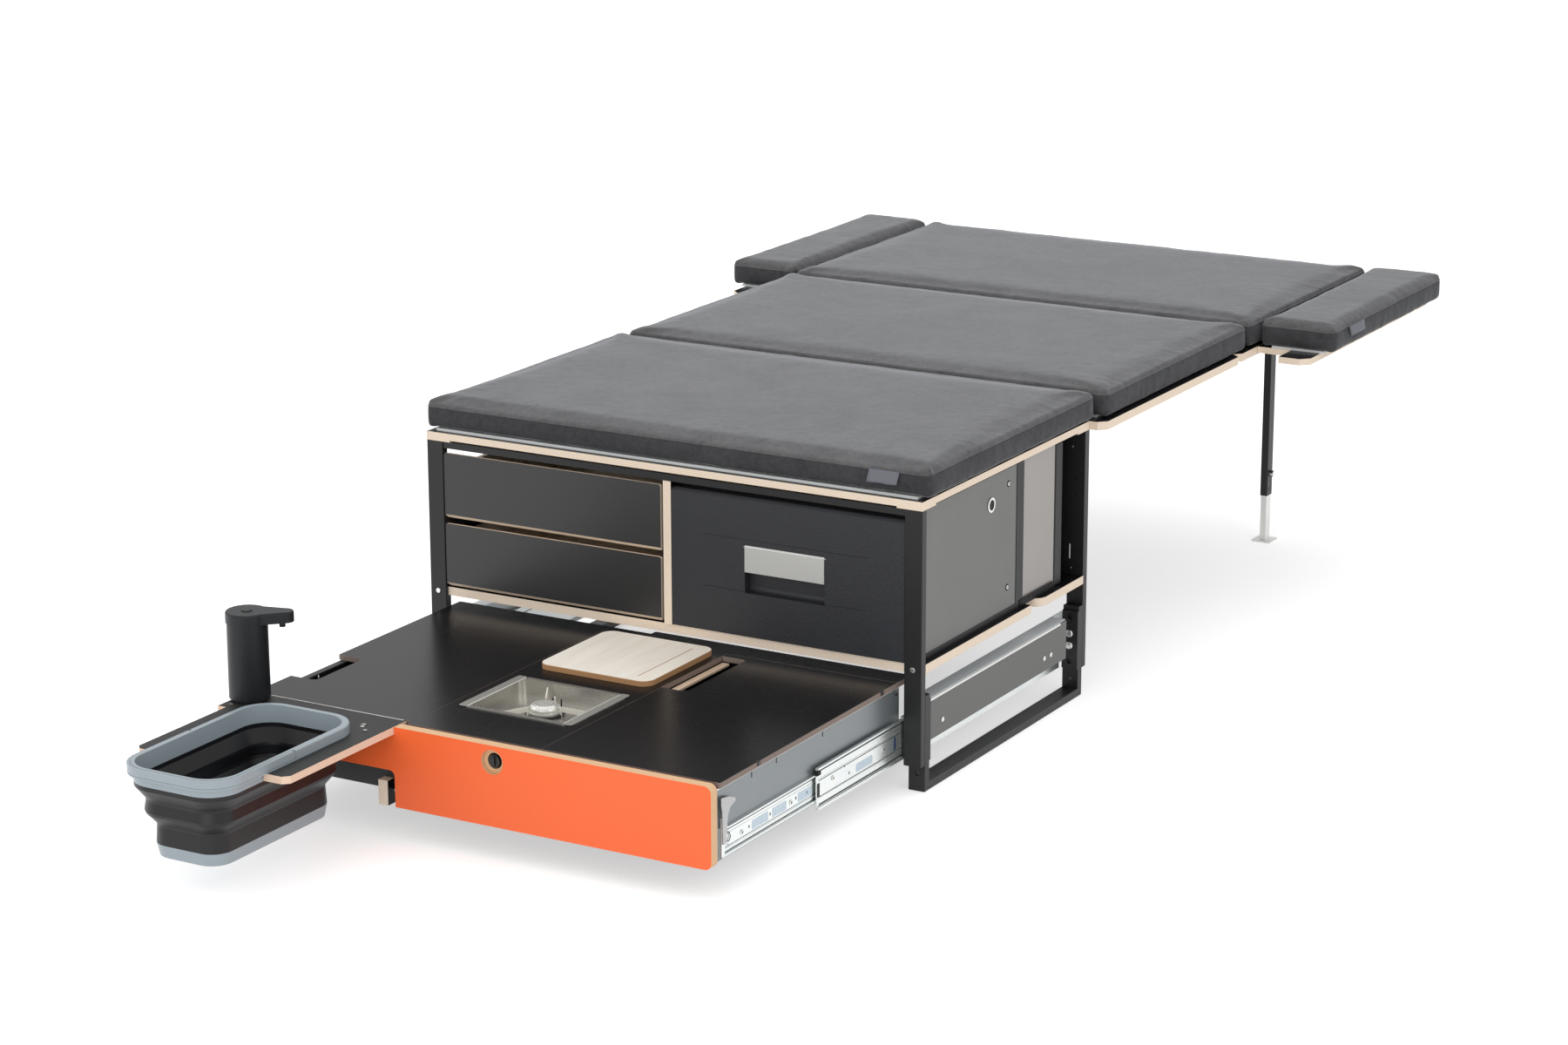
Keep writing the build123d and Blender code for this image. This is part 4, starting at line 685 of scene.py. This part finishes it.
def slideEndPieces():
    make = slideEnds
    web = middleSlide["web"]
    fitting("releaseLevers", "leverGrey", "kitchen", [("x", make["lever"], *make["leverFaces"], 0.4)], True)
    x, z, radius, front, back = make["bumper"]
    # black rubber bumpers, and a hollow beside each painted dark as its shade
    fitting("slideBumpers", "holeShadeAndBlack", "kitchen_slides",
            [("y", circleOutline(x, z, radius), front, back, 1.0),
             ("x", roundedOutline(*make["hollow"]), web, web + make["hollowRise"])], True)
    fitting("slideClips", "clipBlue", "kitchen_slides",
            [("x", roundedOutline(*make["clip"]), web, web + make["clipRise"], 0.3)], True)
    screws("slideEndScrews", "kitchen", "x", innerSlide["web"], 1, make["screws"], True)
    for label, side in (("left", -1), ("right", 1)):
        hook = [spot(side * x, y, z) for x, y, z in make["hook"]]
        curve, _ = polyWire(label + "SpringHook", hook, make["hookRadius"] * millimetre, 3)
        curve.use_fill_caps = True
        curve.materials.append(looks["holeShadeAndBlack"])
        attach(placeObject(curve.name, curve), "kitchen")


slideEndPieces()

trayTrim = {
    # the tray's folded top is a pale strip instead of blue-grey steel, a painted highlight
    "foldHighlight": (435.0, 176.5, 1.5, -571.0, 7.5),
    "hole": (-1.0, 165.0, 3.0, 435.0, 435.15),         # y, z, radius and its two faces
    "clips": ((-456.0, -448.0), (-62.0, -54.0)), "clipBand": (180.5, 187.9, 1.2),
    "clipFaces": (435.5, 440.6, 0.5),
    "slotBatten": (119.6, 133.0, -213.0, -21.5, 0.6, 172.0, 176.0, 0.4),
    "notchPlate": (-434.0, -404.0, -467.0, -412.0, 2.0, 168.6, 170.0, 0.3),
    "lidTail": (-50.0, 438.5, 26.5, 43.0, 4.0, 178.6, 186.8, 0.4),
    # along the beam's top a pale strip stands for its zinc edge and is brightened as a painted highlight
    "beamFoldHighlight": (476.6, 151.2, 2.3, 36.0, 520.0),
}


def trayPieces():
    make = trayTrim
    paleFoldHighlight("trayFoldHighlights", "kitchen", make["foldHighlight"])
    # the tray's hole is a near-black disc, painted shade
    y, z, radius, near, far = make["hole"]
    fitting("trayHoles", "holeShadeAndBlack", "kitchen", [("x", circleOutline(y, z, radius), near, far)], True)
    fitting("lidClips", "knobBlack", "right_lid",
            [("x", roundedOutline(*ends, *make["clipBand"]), *make["clipFaces"]) for ends in make["clips"]])
    for name, look in (("slotBatten", "batten"), ("notchPlate", "zinc"), ("lidTail", "filmBlack")):
        flatPlate(name, look, "kitchen", make[name])
    paleFoldHighlight("beamFoldHighlights", "frame", make["beamFoldHighlight"])


trayPieces()

stoveTrim = {
    "centre": (-6.0, -364.5), "capTop": 183.5,
    "rings": ((20.5, 26), (14.5, 18)),                 # radius of a ring of holes and their number
    "hole": (0.85, 0.12),                              # radius and rise of one hole's dark disc
    "baseRing": (32.0, 22.0, 164.4, 168.6),
    "pins": ((-13.0, -330.5), (3.0, -330.5)), "pin": (1.3, 164.0, 181.0),
    "flange": (16.0, 5.0, -0.3, 0.6),                  # width, corner radius, bottom and top above the tray
    # pale wires along the stove's inner edges, painted highlights
    "foldHighlight": (0.8, 0.1, 5.0),                           # radius, rise, and how far it stops before the ends
}


def stovePieces():
    make = stoveTrim
    x, y = make["centre"]
    outer, inner, bottom, top = make["baseRing"]
    fitting("burnerBaseRing", "knobBlack", "kitchen",
            [("z", circleOutline(x, y, outer), bottom, top, 0.3, circleOutline(x, y, inner))])
    size, rise = make["hole"]
    # each burner hole is a near-black disc, painted shade
    fitting("burnerHoles", "holeShadeAndBlack", "kitchen",
            [("z", circleOutline(a, b, size, 10), make["capTop"], make["capTop"] + rise)
             for radius, count in make["rings"] for a, b in circleOutline(x, y, radius, count)])
    low, high = [(corner - boxOrigin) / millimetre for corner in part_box("stove_tray")]
    width, corner, bottom, top = make["flange"]
    fitting("stoveFlanges", "stoveFlange", "kitchen",
            [("z", roundedOutline(a, a + width, low.y, high.y, corner), high.z + bottom, high.z + top, 0.3)
             for a in (low.x, high.x - width)])
    # pale wires along the inner top edges of the stove's flanges are painted highlights
    radius, rise, short = make["foldHighlight"]
    fitting("stoveRimHighlight", "footZincAndHighlight", "kitchen",
            [("y", circleOutline(a, high.z + rise, radius, 12), low.y + short, high.y - short, 0.2)
             for a in (low.x + width, high.x - width)])
    radius, bottom, top = make["pin"]
    fitting("igniterPins", "knobBlack", "kitchen",
            [("z", circleOutline(a, b, radius, 14), bottom, top, 0.4) for a, b in make["pins"]])


stovePieces()

cornerTrim = {
    "front": 603.0, "screws": (2.3, (455.0, 447.6), (455.5, 229.5)),
    "slot": (452.9, 455.1, 246.0, 273.0, 1.0), "slotRise": 0.15,
}
fridgeTrim = {
    "side": 468.0,
    "ring": (267.0, 424.0, 13.0, 9.0, 1.6, 0.3),       # y, z, two radii, its rise and its hole's
    "screws": (3.4, (331.0, 446.0), (330.0, 266.0)), "well": (5.2, 0.2),
    "strips": ((362.0, 371.0, 218.5, 472.5, 1.0), (36.0, 362.0, 218.3, 229.0, 1.0)), "stripRise": 0.8,
    "rear": (20.0, 466.5, 512.0, 546.0, 6.0, 219.0, 472.0, 2.0),
    "foot": (378.0, 513.0, 218.5, 231.0, 0.5, 0.5),
    "ribs": (5.0, 0.55, 0.8, 1.4),                     # spacing, width as its share, corner radius, rise
}


def framePieces():
    front = cornerTrim["front"]
    screws("cornerScrews", "frame", "y", front, -1, cornerTrim["screws"], True)
    fitting("cornerSlots", "slotPale", "frame",
            [("y", roundedOutline(*cornerTrim["slot"]), front - cornerTrim["slotRise"], front)], True)
    make = fridgeTrim
    side = make["side"]
    y, z, outer, inner, rise, holeRise = make["ring"]
    hole = circleOutline(y, z, inner)
    fitting("cableRing", "boltZinc", "frame",
            [("x", circleOutline(y, z, outer), side, side + rise, 0.4, hole)])
    # the ring's hole is a near-black disc, painted shade
    fitting("cableRingHole", "holeShadeAndBlack", "frame", [("x", hole, side, side + holeRise)])
    # the wells around the screws are painted dark as their shade
    radius, rise = make["well"]
    fitting("fridgeScrewWells", "holeShadeAndBlack", "frame",
            [("x", circleOutline(a, b, radius), side, side + rise) for a, b in make["screws"][1:]])
    screws("fridgeScrews", "frame", "x", side, 1, make["screws"])
    fitting("fridgeStrip", "fridgeBlack", "frame",
            [("x", roundedOutline(*strip), side, side + make["stripRise"], 0.2) for strip in make["strips"]])
    flatPlate("coolerRear", "fridgeBlack", "frame", make["rear"])
    y0, y1, z0, z1, corner, rise = make["foot"]
    foot = ("x", roundedOutline(y0, y1, z0, z1, corner), side, side + rise)
    gap, share, corner, rise = make["ribs"]
    ribs = [("x", roundedOutline(y0 + k * gap, y0 + (k + share) * gap, z0, z1, corner),
             side, side + rise, 0.3) for k in range(int((y1 - y0) / gap))]
    fitting("coolerFoot", "fridgeBlack", "frame", [foot, *ribs])


framePieces()

hingeTrim = {"top": 187.6, "screws": (3.2, (-186.0, -604.5), (-168.0, -627.0))}
legTrim = {"mark": (1688.5, 1691.5, 104.0, 111.0, 1.2), "faces": (376.5, 376.7)}
screws("flapScrews", "bucket_shelf", "z", hingeTrim["top"], 1, hingeTrim["screws"])
fitting("legMarks", "holeShadeAndBlack", "legs", [("x", roundedOutline(*legTrim["mark"]), *legTrim["faces"])])
print("small fittings made")


# cushions

cushionMake = {
    "sheet": 0.005,        # thickness of the grey sheet under the cover
    "sheetInset": 0.024,   # the sheet stays this far inside the cover's sides
    "sheetBack": 0.008,
    "sheetBevel": 0.0008,
    "gap": 0.0006,         # between sheet and cover at the start
    "rest": 0.0004,        # and the least of it after the swelling
    "inset": 0.0022,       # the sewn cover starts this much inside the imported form
    "cornerRadius": 0.012,
    "edgeRadius": 0.004,
    "voxel": 0.008,
    "pressure": 4.0,
    "frames": 14,
    "bending": 2.0,
    "cap": 0.0045,         # how far the swelling may push a point
    "heldBottom": 0.003,   # points this low are held still
    "seamHold": (0.85, 0.55),    # how firmly the seam is held, and its half height in voxels
    "seamDrop": 0.010,     # the seam lies this far under the top
    "seamRadius": 0.0011,
    "crown": 0.0035, "crownReach": 0.02,
    "raise": 0.0045,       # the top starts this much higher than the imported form, to keep its edges full
    "skirt": 0.0036,       # beside the sheet the cover hangs down this far
    "skirtHeight": 0.02, "skirtSlope": 1.6,
    "sideSlope": 0.75,     # below the seam, faces steeper than this are the cover's sides
}
creaseMake = {
    "height": 0.0012,
    "waves": ((5.0, 5.0, 9.0), (16.0, 16.0, 30.0), (45.0, 45.0, 22.0), (7.0, 62.0, 30.0)),   # per metre
    "shares": (0.45, 0.8, 0.45, 0.7),
    "edgeReach": 0.09, "sideReach": 0.07, "flatBottom": 0.002, "seedStep": (3.1, 7.7),
}


def cushionStart(name, low, high, make):
    shape = boxShape(low, high)

    def climb(edge):
        return abs(edge.verts[0].co.z - edge.verts[1].co.z)

    roundEdges(shape, [e for e in shape.edges if climb(e) > 0.01], make["cornerRadius"], 5)
    rims = [e for e in shape.edges if climb(e) < 0.0001 and len(e.link_faces) == 2
            and abs(e.link_faces[0].normal.z - e.link_faces[1].normal.z) > 0.5]
    shape.normal_update()
    roundEdges(shape, rims, make["edgeRadius"], 3)
    return shapeObject(name, shape)


def applyModifiers(piece):
    graph = bpy.context.evaluated_depsgraph_get()
    made = bpy.data.meshes.new_from_object(piece.evaluated_get(graph))
    piece.modifiers.clear()
    old = piece.data
    piece.data = made
    bpy.data.meshes.remove(old)


def swell(piece, make, seamHeight):
    before = [v.co.copy() for v in piece.data.vertices]
    low = min(v.z for v in before)
    seamWeight, seamBand = make["seamHold"]
    held = piece.vertex_groups.new(name="held")
    for index, place in enumerate(before):
        if place.z < low + make["heldBottom"]:
            held.add([index], 1.0, "REPLACE")
        elif abs(place.z - seamHeight) < make["voxel"] * seamBand:
            held.add([index], seamWeight, "REPLACE")
    cloth = piece.modifiers.new("swelling", "CLOTH")
    cloth.settings.use_pressure = True
    cloth.settings.uniform_pressure_force = make["pressure"]
    cloth.settings.effector_weights.gravity = 0.0
    cloth.settings.vertex_group_mass = "held"
    cloth.settings.quality = 4
    cloth.settings.bending_stiffness = make["bending"]
    cloth.point_cache.frame_start = 1
    cloth.point_cache.frame_end = make["frames"]
    scene = bpy.context.scene
    for frameNumber in range(1, make["frames"] + 1):
        scene.frame_set(frameNumber)
    applyModifiers(piece)
    scene.frame_set(1)
    for vertex, place in zip(piece.data.vertices, before):
        step = vertex.co - place
        if step.length > make["cap"]:
            vertex.co = place + step * (make["cap"] / step.length)


def creases(piece, low, high, seed, make):
    # long soft waves of the cover, stronger near its edges
    normals = [v.normal.copy() for v in piece.data.vertices]
    stepX, stepY = make["seedStep"]
    offset = Vector((seed * stepX, seed * stepY, 0.0))
    slowShare, fastShare, rippleShare, pullShare = make["shares"]
    for vertex, normal in zip(piece.data.vertices, normals):
        place = vertex.co
        side = min(place.x - low.x, high.x - place.x)
        near = math.exp(-max(min(side, place.y - low.y, high.y - place.y), 0.0) / make["edgeReach"])
        slow, fast, ripple, pull = [
            noise.noise(Vector((place.x * a, place.y * b, place.z * c)) + offset * (k + 1))
            for k, (a, b, c) in enumerate(make["waves"])]
        atSide = math.exp(-max(side, 0.0) / make["sideReach"])
        lift = make["height"] * (slowShare * slow + near * (fastShare * fast + rippleShare * ripple)
                                 + atSide * pullShare * max(pull, 0.0))
        if place.z < low.z + make["flatBottom"]:
            lift = 0.0
        vertex.co = place + normal * lift


seamSearch = {"spacing": 0.012, "corner": 0.02, "outside": 0.05, "reach": 0.2}


def seamCord(name, piece, height, radius, low, high, body):
    # a thin welt laid on the cover at one height, found by looking inwards from all round
    mesh = piece.data
    tree = BVHTree.FromPolygons([v.co for v in mesh.vertices], [p.vertices[:] for p in mesh.polygons])
    middle = (Vector(low) + Vector(high)) / 2
    half = (Vector(high) - Vector(low)) / 2
    points = []
    corners = [(-1, -1), (1, -1), (1, 1), (-1, 1), (-1, -1)]
    for pair in zip(corners, corners[1:]):
        start, end = [Vector((middle.x + a * half.x, middle.y + b * half.y, height)) for a, b in pair]
        along = (end - start).normalized()
        count = int((end - start).length / seamSearch["spacing"])
        for index in range(count):
            probe = start + (end - start) * (index / count)
            aim = Vector((-along.y, along.x, 0.0))
            if min((probe - start).length, (end - probe).length) < seamSearch["corner"]:
                aim = Vector((middle.x, middle.y, height)) - probe
                aim = Vector((math.copysign(1, aim.x), math.copysign(1, aim.y), 0)).normalized()
            hit = tree.ray_cast(probe - aim * seamSearch["outside"], aim, seamSearch["reach"])[0]
            if hit:
                points.append(hit)
    curve, spline = polyWire(name, points, radius, 2)
    spline.use_cyclic_u = True
    curve.materials.append(looks["velour"])
    cord = placeObject(name, curve)
    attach(cord, body)


def makeCushion(name, node, body, seed, sheetSetback):
    make = cushionMake
    boxLow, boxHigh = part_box(node)
    sheetTop = boxLow.z + make["sheet"]
    inset = make["inset"]
    low = Vector((boxLow.x + inset, boxLow.y + inset, sheetTop + make["gap"]))
    high = Vector((boxHigh.x - inset, boxHigh.y - inset, boxHigh.z - make["crown"] + make["raise"]))
    piece = cushionStart(name, low, high, make)
    remesh = piece.modifiers.new("even mesh", "REMESH")
    remesh.mode = "VOXEL"
    remesh.voxel_size = make["voxel"]
    applyModifiers(piece)
    seamHeight = high.z - make["seamDrop"]
    swell(piece, make, seamHeight)
    finer = piece.modifiers.new("finer", "SUBSURF")
    finer.levels = 1
    finer.render_levels = 1
    applyModifiers(piece)
    creases(piece, low, high, seed, creaseMake)
    for vertex in piece.data.vertices:
        vertex.co.z = max(vertex.co.z, sheetTop + make["rest"])
        side = min(vertex.co.x - low.x, high.x - vertex.co.x)
        outside = min(max(1 - side / (make["sheetInset"] - inset), 0.0), 1.0)
        hang = outside * max(1 - (vertex.co.z - sheetTop) / make["skirtHeight"], 0.0)
        vertex.co.z -= make["skirt"] * min(hang * make["skirtSlope"], 1.0)
    finishPiece(piece, "velour", body, True)
    # the cover's sides below the seam get the darker velour, painted shade
    piece.data.materials.append(looks["velourSideShade"])
    for polygon in piece.data.polygons:
        if polygon.center.z < seamHeight and abs(polygon.normal.z) < make["sideSlope"]:
            polygon.material_index = 1
    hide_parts(node)
    sheetShape = boxShape((boxLow.x + make["sheetInset"], boxLow.y + sheetSetback, boxLow.z),
                          (boxHigh.x - make["sheetInset"], boxHigh.y - make["sheetBack"], sheetTop))
    roundEdges(sheetShape, sheetShape.edges[:], make["sheetBevel"])
    sheet = shapeObject(name + "Sheet", sheetShape)
    finishPiece(sheet, "sheetGrey", body)
    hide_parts(node)
    seamCord(name + "Seam", piece, seamHeight, make["seamRadius"], low, high, body)
    print("cushion done:", name, len(piece.data.vertices), "points")


# node, body, seed of its creases, and how far its sheet stays behind the front edge
cushions = {
    "firstMattress": ("first_mattress", "frame", 1, 0.004),
    "middleMattress": ("middle_mattress", "middle_section", 2, 0.008),
    "headMattress": ("head_mattress", "head_section", 3, 0.008),
    "leftWingCushion": ("left_wing_cushion", "left_wing", 4, 0.008),
    "rightWingCushion": ("right_wing_cushion", "right_wing", 5, 0.008),
}
for name, cushion in cushions.items():
    makeCushion(name, *cushion)

# bare woven tags by their four corners, sewn in at the top and standing off a little at the bottom
tags = {
    "frontTag": ("frame", [(381, 3.6, 536), (436, 3.6, 536), (433, -1.0, 515), (378, -1.0, 515)]),
    "wingTag": ("right_wing", [(663, 1357, 537), (663, 1431, 537), (667.5, 1428, 519), (667.5, 1359, 519)]),
}
tagMake = {"height": 0.021, "cuts": 5, "thickness": 0.0007, "wave": 0.0006, "waveAlong": (190, 150)}


def makeTag(name, body, corners):
    shape = bmesh.new()
    shape.faces.new([shape.verts.new(spot(*corner)) for corner in corners])
    bmesh.ops.subdivide_edges(shape, edges=shape.edges[:], cuts=tagMake["cuts"], use_grid_fill=True)
    top = max(vertex.co.z for vertex in shape.verts)
    alongX, alongY = tagMake["waveAlong"]
    for vertex in shape.verts:
        drop = (top - vertex.co.z) / tagMake["height"]
        wave = tagMake["wave"] * math.sin(vertex.co.x * alongX + vertex.co.y * alongY)
        vertex.co += Vector((0.0, 0.0, wave)) * drop
    piece = shapeObject(name, shape)
    thick = piece.modifiers.new("cloth thickness", "SOLIDIFY")
    thick.thickness = tagMake["thickness"]
    applyModifiers(piece)
    finishPiece(piece, "tagGrey", body, True)


for name, (body, corners) in tags.items():
    makeTag(name, body, corners)
print("tags made:", len(tags))


# stage, lights and camera

stageSetup = {"reach": 40.0, "floor": color(0.86, 0.86, 0.86), "floorGlow": 0.5, "light": 0.8,
              "backdrop": 1.0}
lamps = {    # place, aim, width, depth and power
    "overhead": ((-0.6, 0.6, 3.6), (0, 0.2, 0.3), 4.5, 4.5, 38.0),
    "leftPanel": ((-4.2, -2.2, 2.2), (0, 0, 0.3), 2.4, 3.0, 26.0),
    "rightPanel": ((4.6, -1.5, 2.4), (0.2, 0, 0.3), 2.4, 3.0, 22.0),
    "frontPanel": ((0.8, -6.0, 1.0), (0, -1.0, 0.15), 3.5, 1.4, 44.0),
}
cameraSetup = {"place": (3.183, -5.619, 2.079), "azimuth": 29.83, "elevation": 15.48, "roll": -0.13,
               "lens": 87.32}


def seenBy(tree, *kinds):
    # 1 for the kinds of ray that see the white surroundings, 0 for the light on the object
    rays = addNode(tree, "ShaderNodeLightPath").outputs
    seen = rays[kinds[0]]
    for kind in kinds[1:]:
        seen = mathNode(tree, "MAXIMUM", seen, rays[kind])
    return seen


def makeStage():
    reach = stageSetup["reach"]
    mesh = bpy.data.meshes.new("floor")
    mesh.from_pydata([(-reach, -reach, 0), (reach, -reach, 0), (reach, reach, 0), (-reach, reach, 0)], [],
                     [(0, 1, 2, 3)])
    material, tree, shader = newMaterial("studioFloor")
    setSockets(shader, Base_Color=stageSetup["floor"], Roughness=0.8, Specular_IOR_Level=0.1)
    glow = addNode(tree, "ShaderNodeEmission")
    seen = seenBy(tree, "Is Camera Ray", "Is Glossy Ray", "Is Transmission Ray")
    feed(tree, glow.inputs["Strength"], mathNode(tree, "MULTIPLY", seen, stageSetup["floorGlow"]))
    total = addNode(tree, "ShaderNodeAddShader")
    feed(tree, total.inputs[0], shader.outputs[0])
    feed(tree, total.inputs[1], glow.outputs[0])
    feed(tree, tree.nodes["Material Output"].inputs["Surface"], total.outputs[0])
    mesh.materials.append(material)
    placeObject("floor", mesh)


def areaLamp(name, place, aim, width, depth, power):
    lamp = bpy.data.lights.new(name, "AREA")
    lamp.shape = "RECTANGLE"
    lamp.size = width
    lamp.size_y = depth
    lamp.energy = power
    lampObject = placeObject(name, lamp)
    lampObject.location = place
    lampObject.rotation_mode = "QUATERNION"
    lampObject.rotation_quaternion = (Vector(aim) - Vector(place)).to_track_quat("-Z", "Y")


def makeLight():
    world = bpy.data.worlds.new("studio")
    bpy.context.scene.world = world
    world.use_nodes = True
    tree = world.node_tree
    background = tree.nodes["Background"]
    setSockets(background, Color=color(1, 1, 1))
    strength = addNode(tree, "ShaderNodeMix", data_type="FLOAT")
    feed(tree, strength.inputs[0], seenBy(tree, "Is Camera Ray", "Is Transmission Ray"))
    feed(tree, strength.inputs[2], stageSetup["light"])
    feed(tree, strength.inputs[3], stageSetup["backdrop"])
    feed(tree, background.inputs["Strength"], strength.outputs[0])
    for name, lamp in lamps.items():
        areaLamp(name, *lamp)
    bpy.context.scene.view_settings.view_transform = "Standard"


def makeCamera():
    azimuth, elevation, roll = [math.radians(cameraSetup[k]) for k in ("azimuth", "elevation", "roll")]
    back = Vector((math.sin(azimuth) * math.cos(elevation), -math.cos(azimuth) * math.cos(elevation),
                   math.sin(elevation)))
    level = Vector((math.cos(azimuth), math.sin(azimuth), 0.0))
    upright = back.cross(level)
    right = level * math.cos(roll) + upright * math.sin(roll)
    up = upright * math.cos(roll) - level * math.sin(roll)
    data = bpy.data.cameras.new("camera")
    data.lens = cameraSetup["lens"]
    data.sensor_width = 36.0
    data.clip_end = 200.0
    camera = placeObject("camera", data)
    turn = Matrix((right, up, back)).transposed().to_4x4()
    camera.matrix_world = Matrix.Translation(cameraSetup["place"]) @ turn
    bpy.context.scene.camera = camera


makeStage()
makeLight()
makeCamera()
print("stage, lights and camera ready")

bpy.context.view_layer.update()
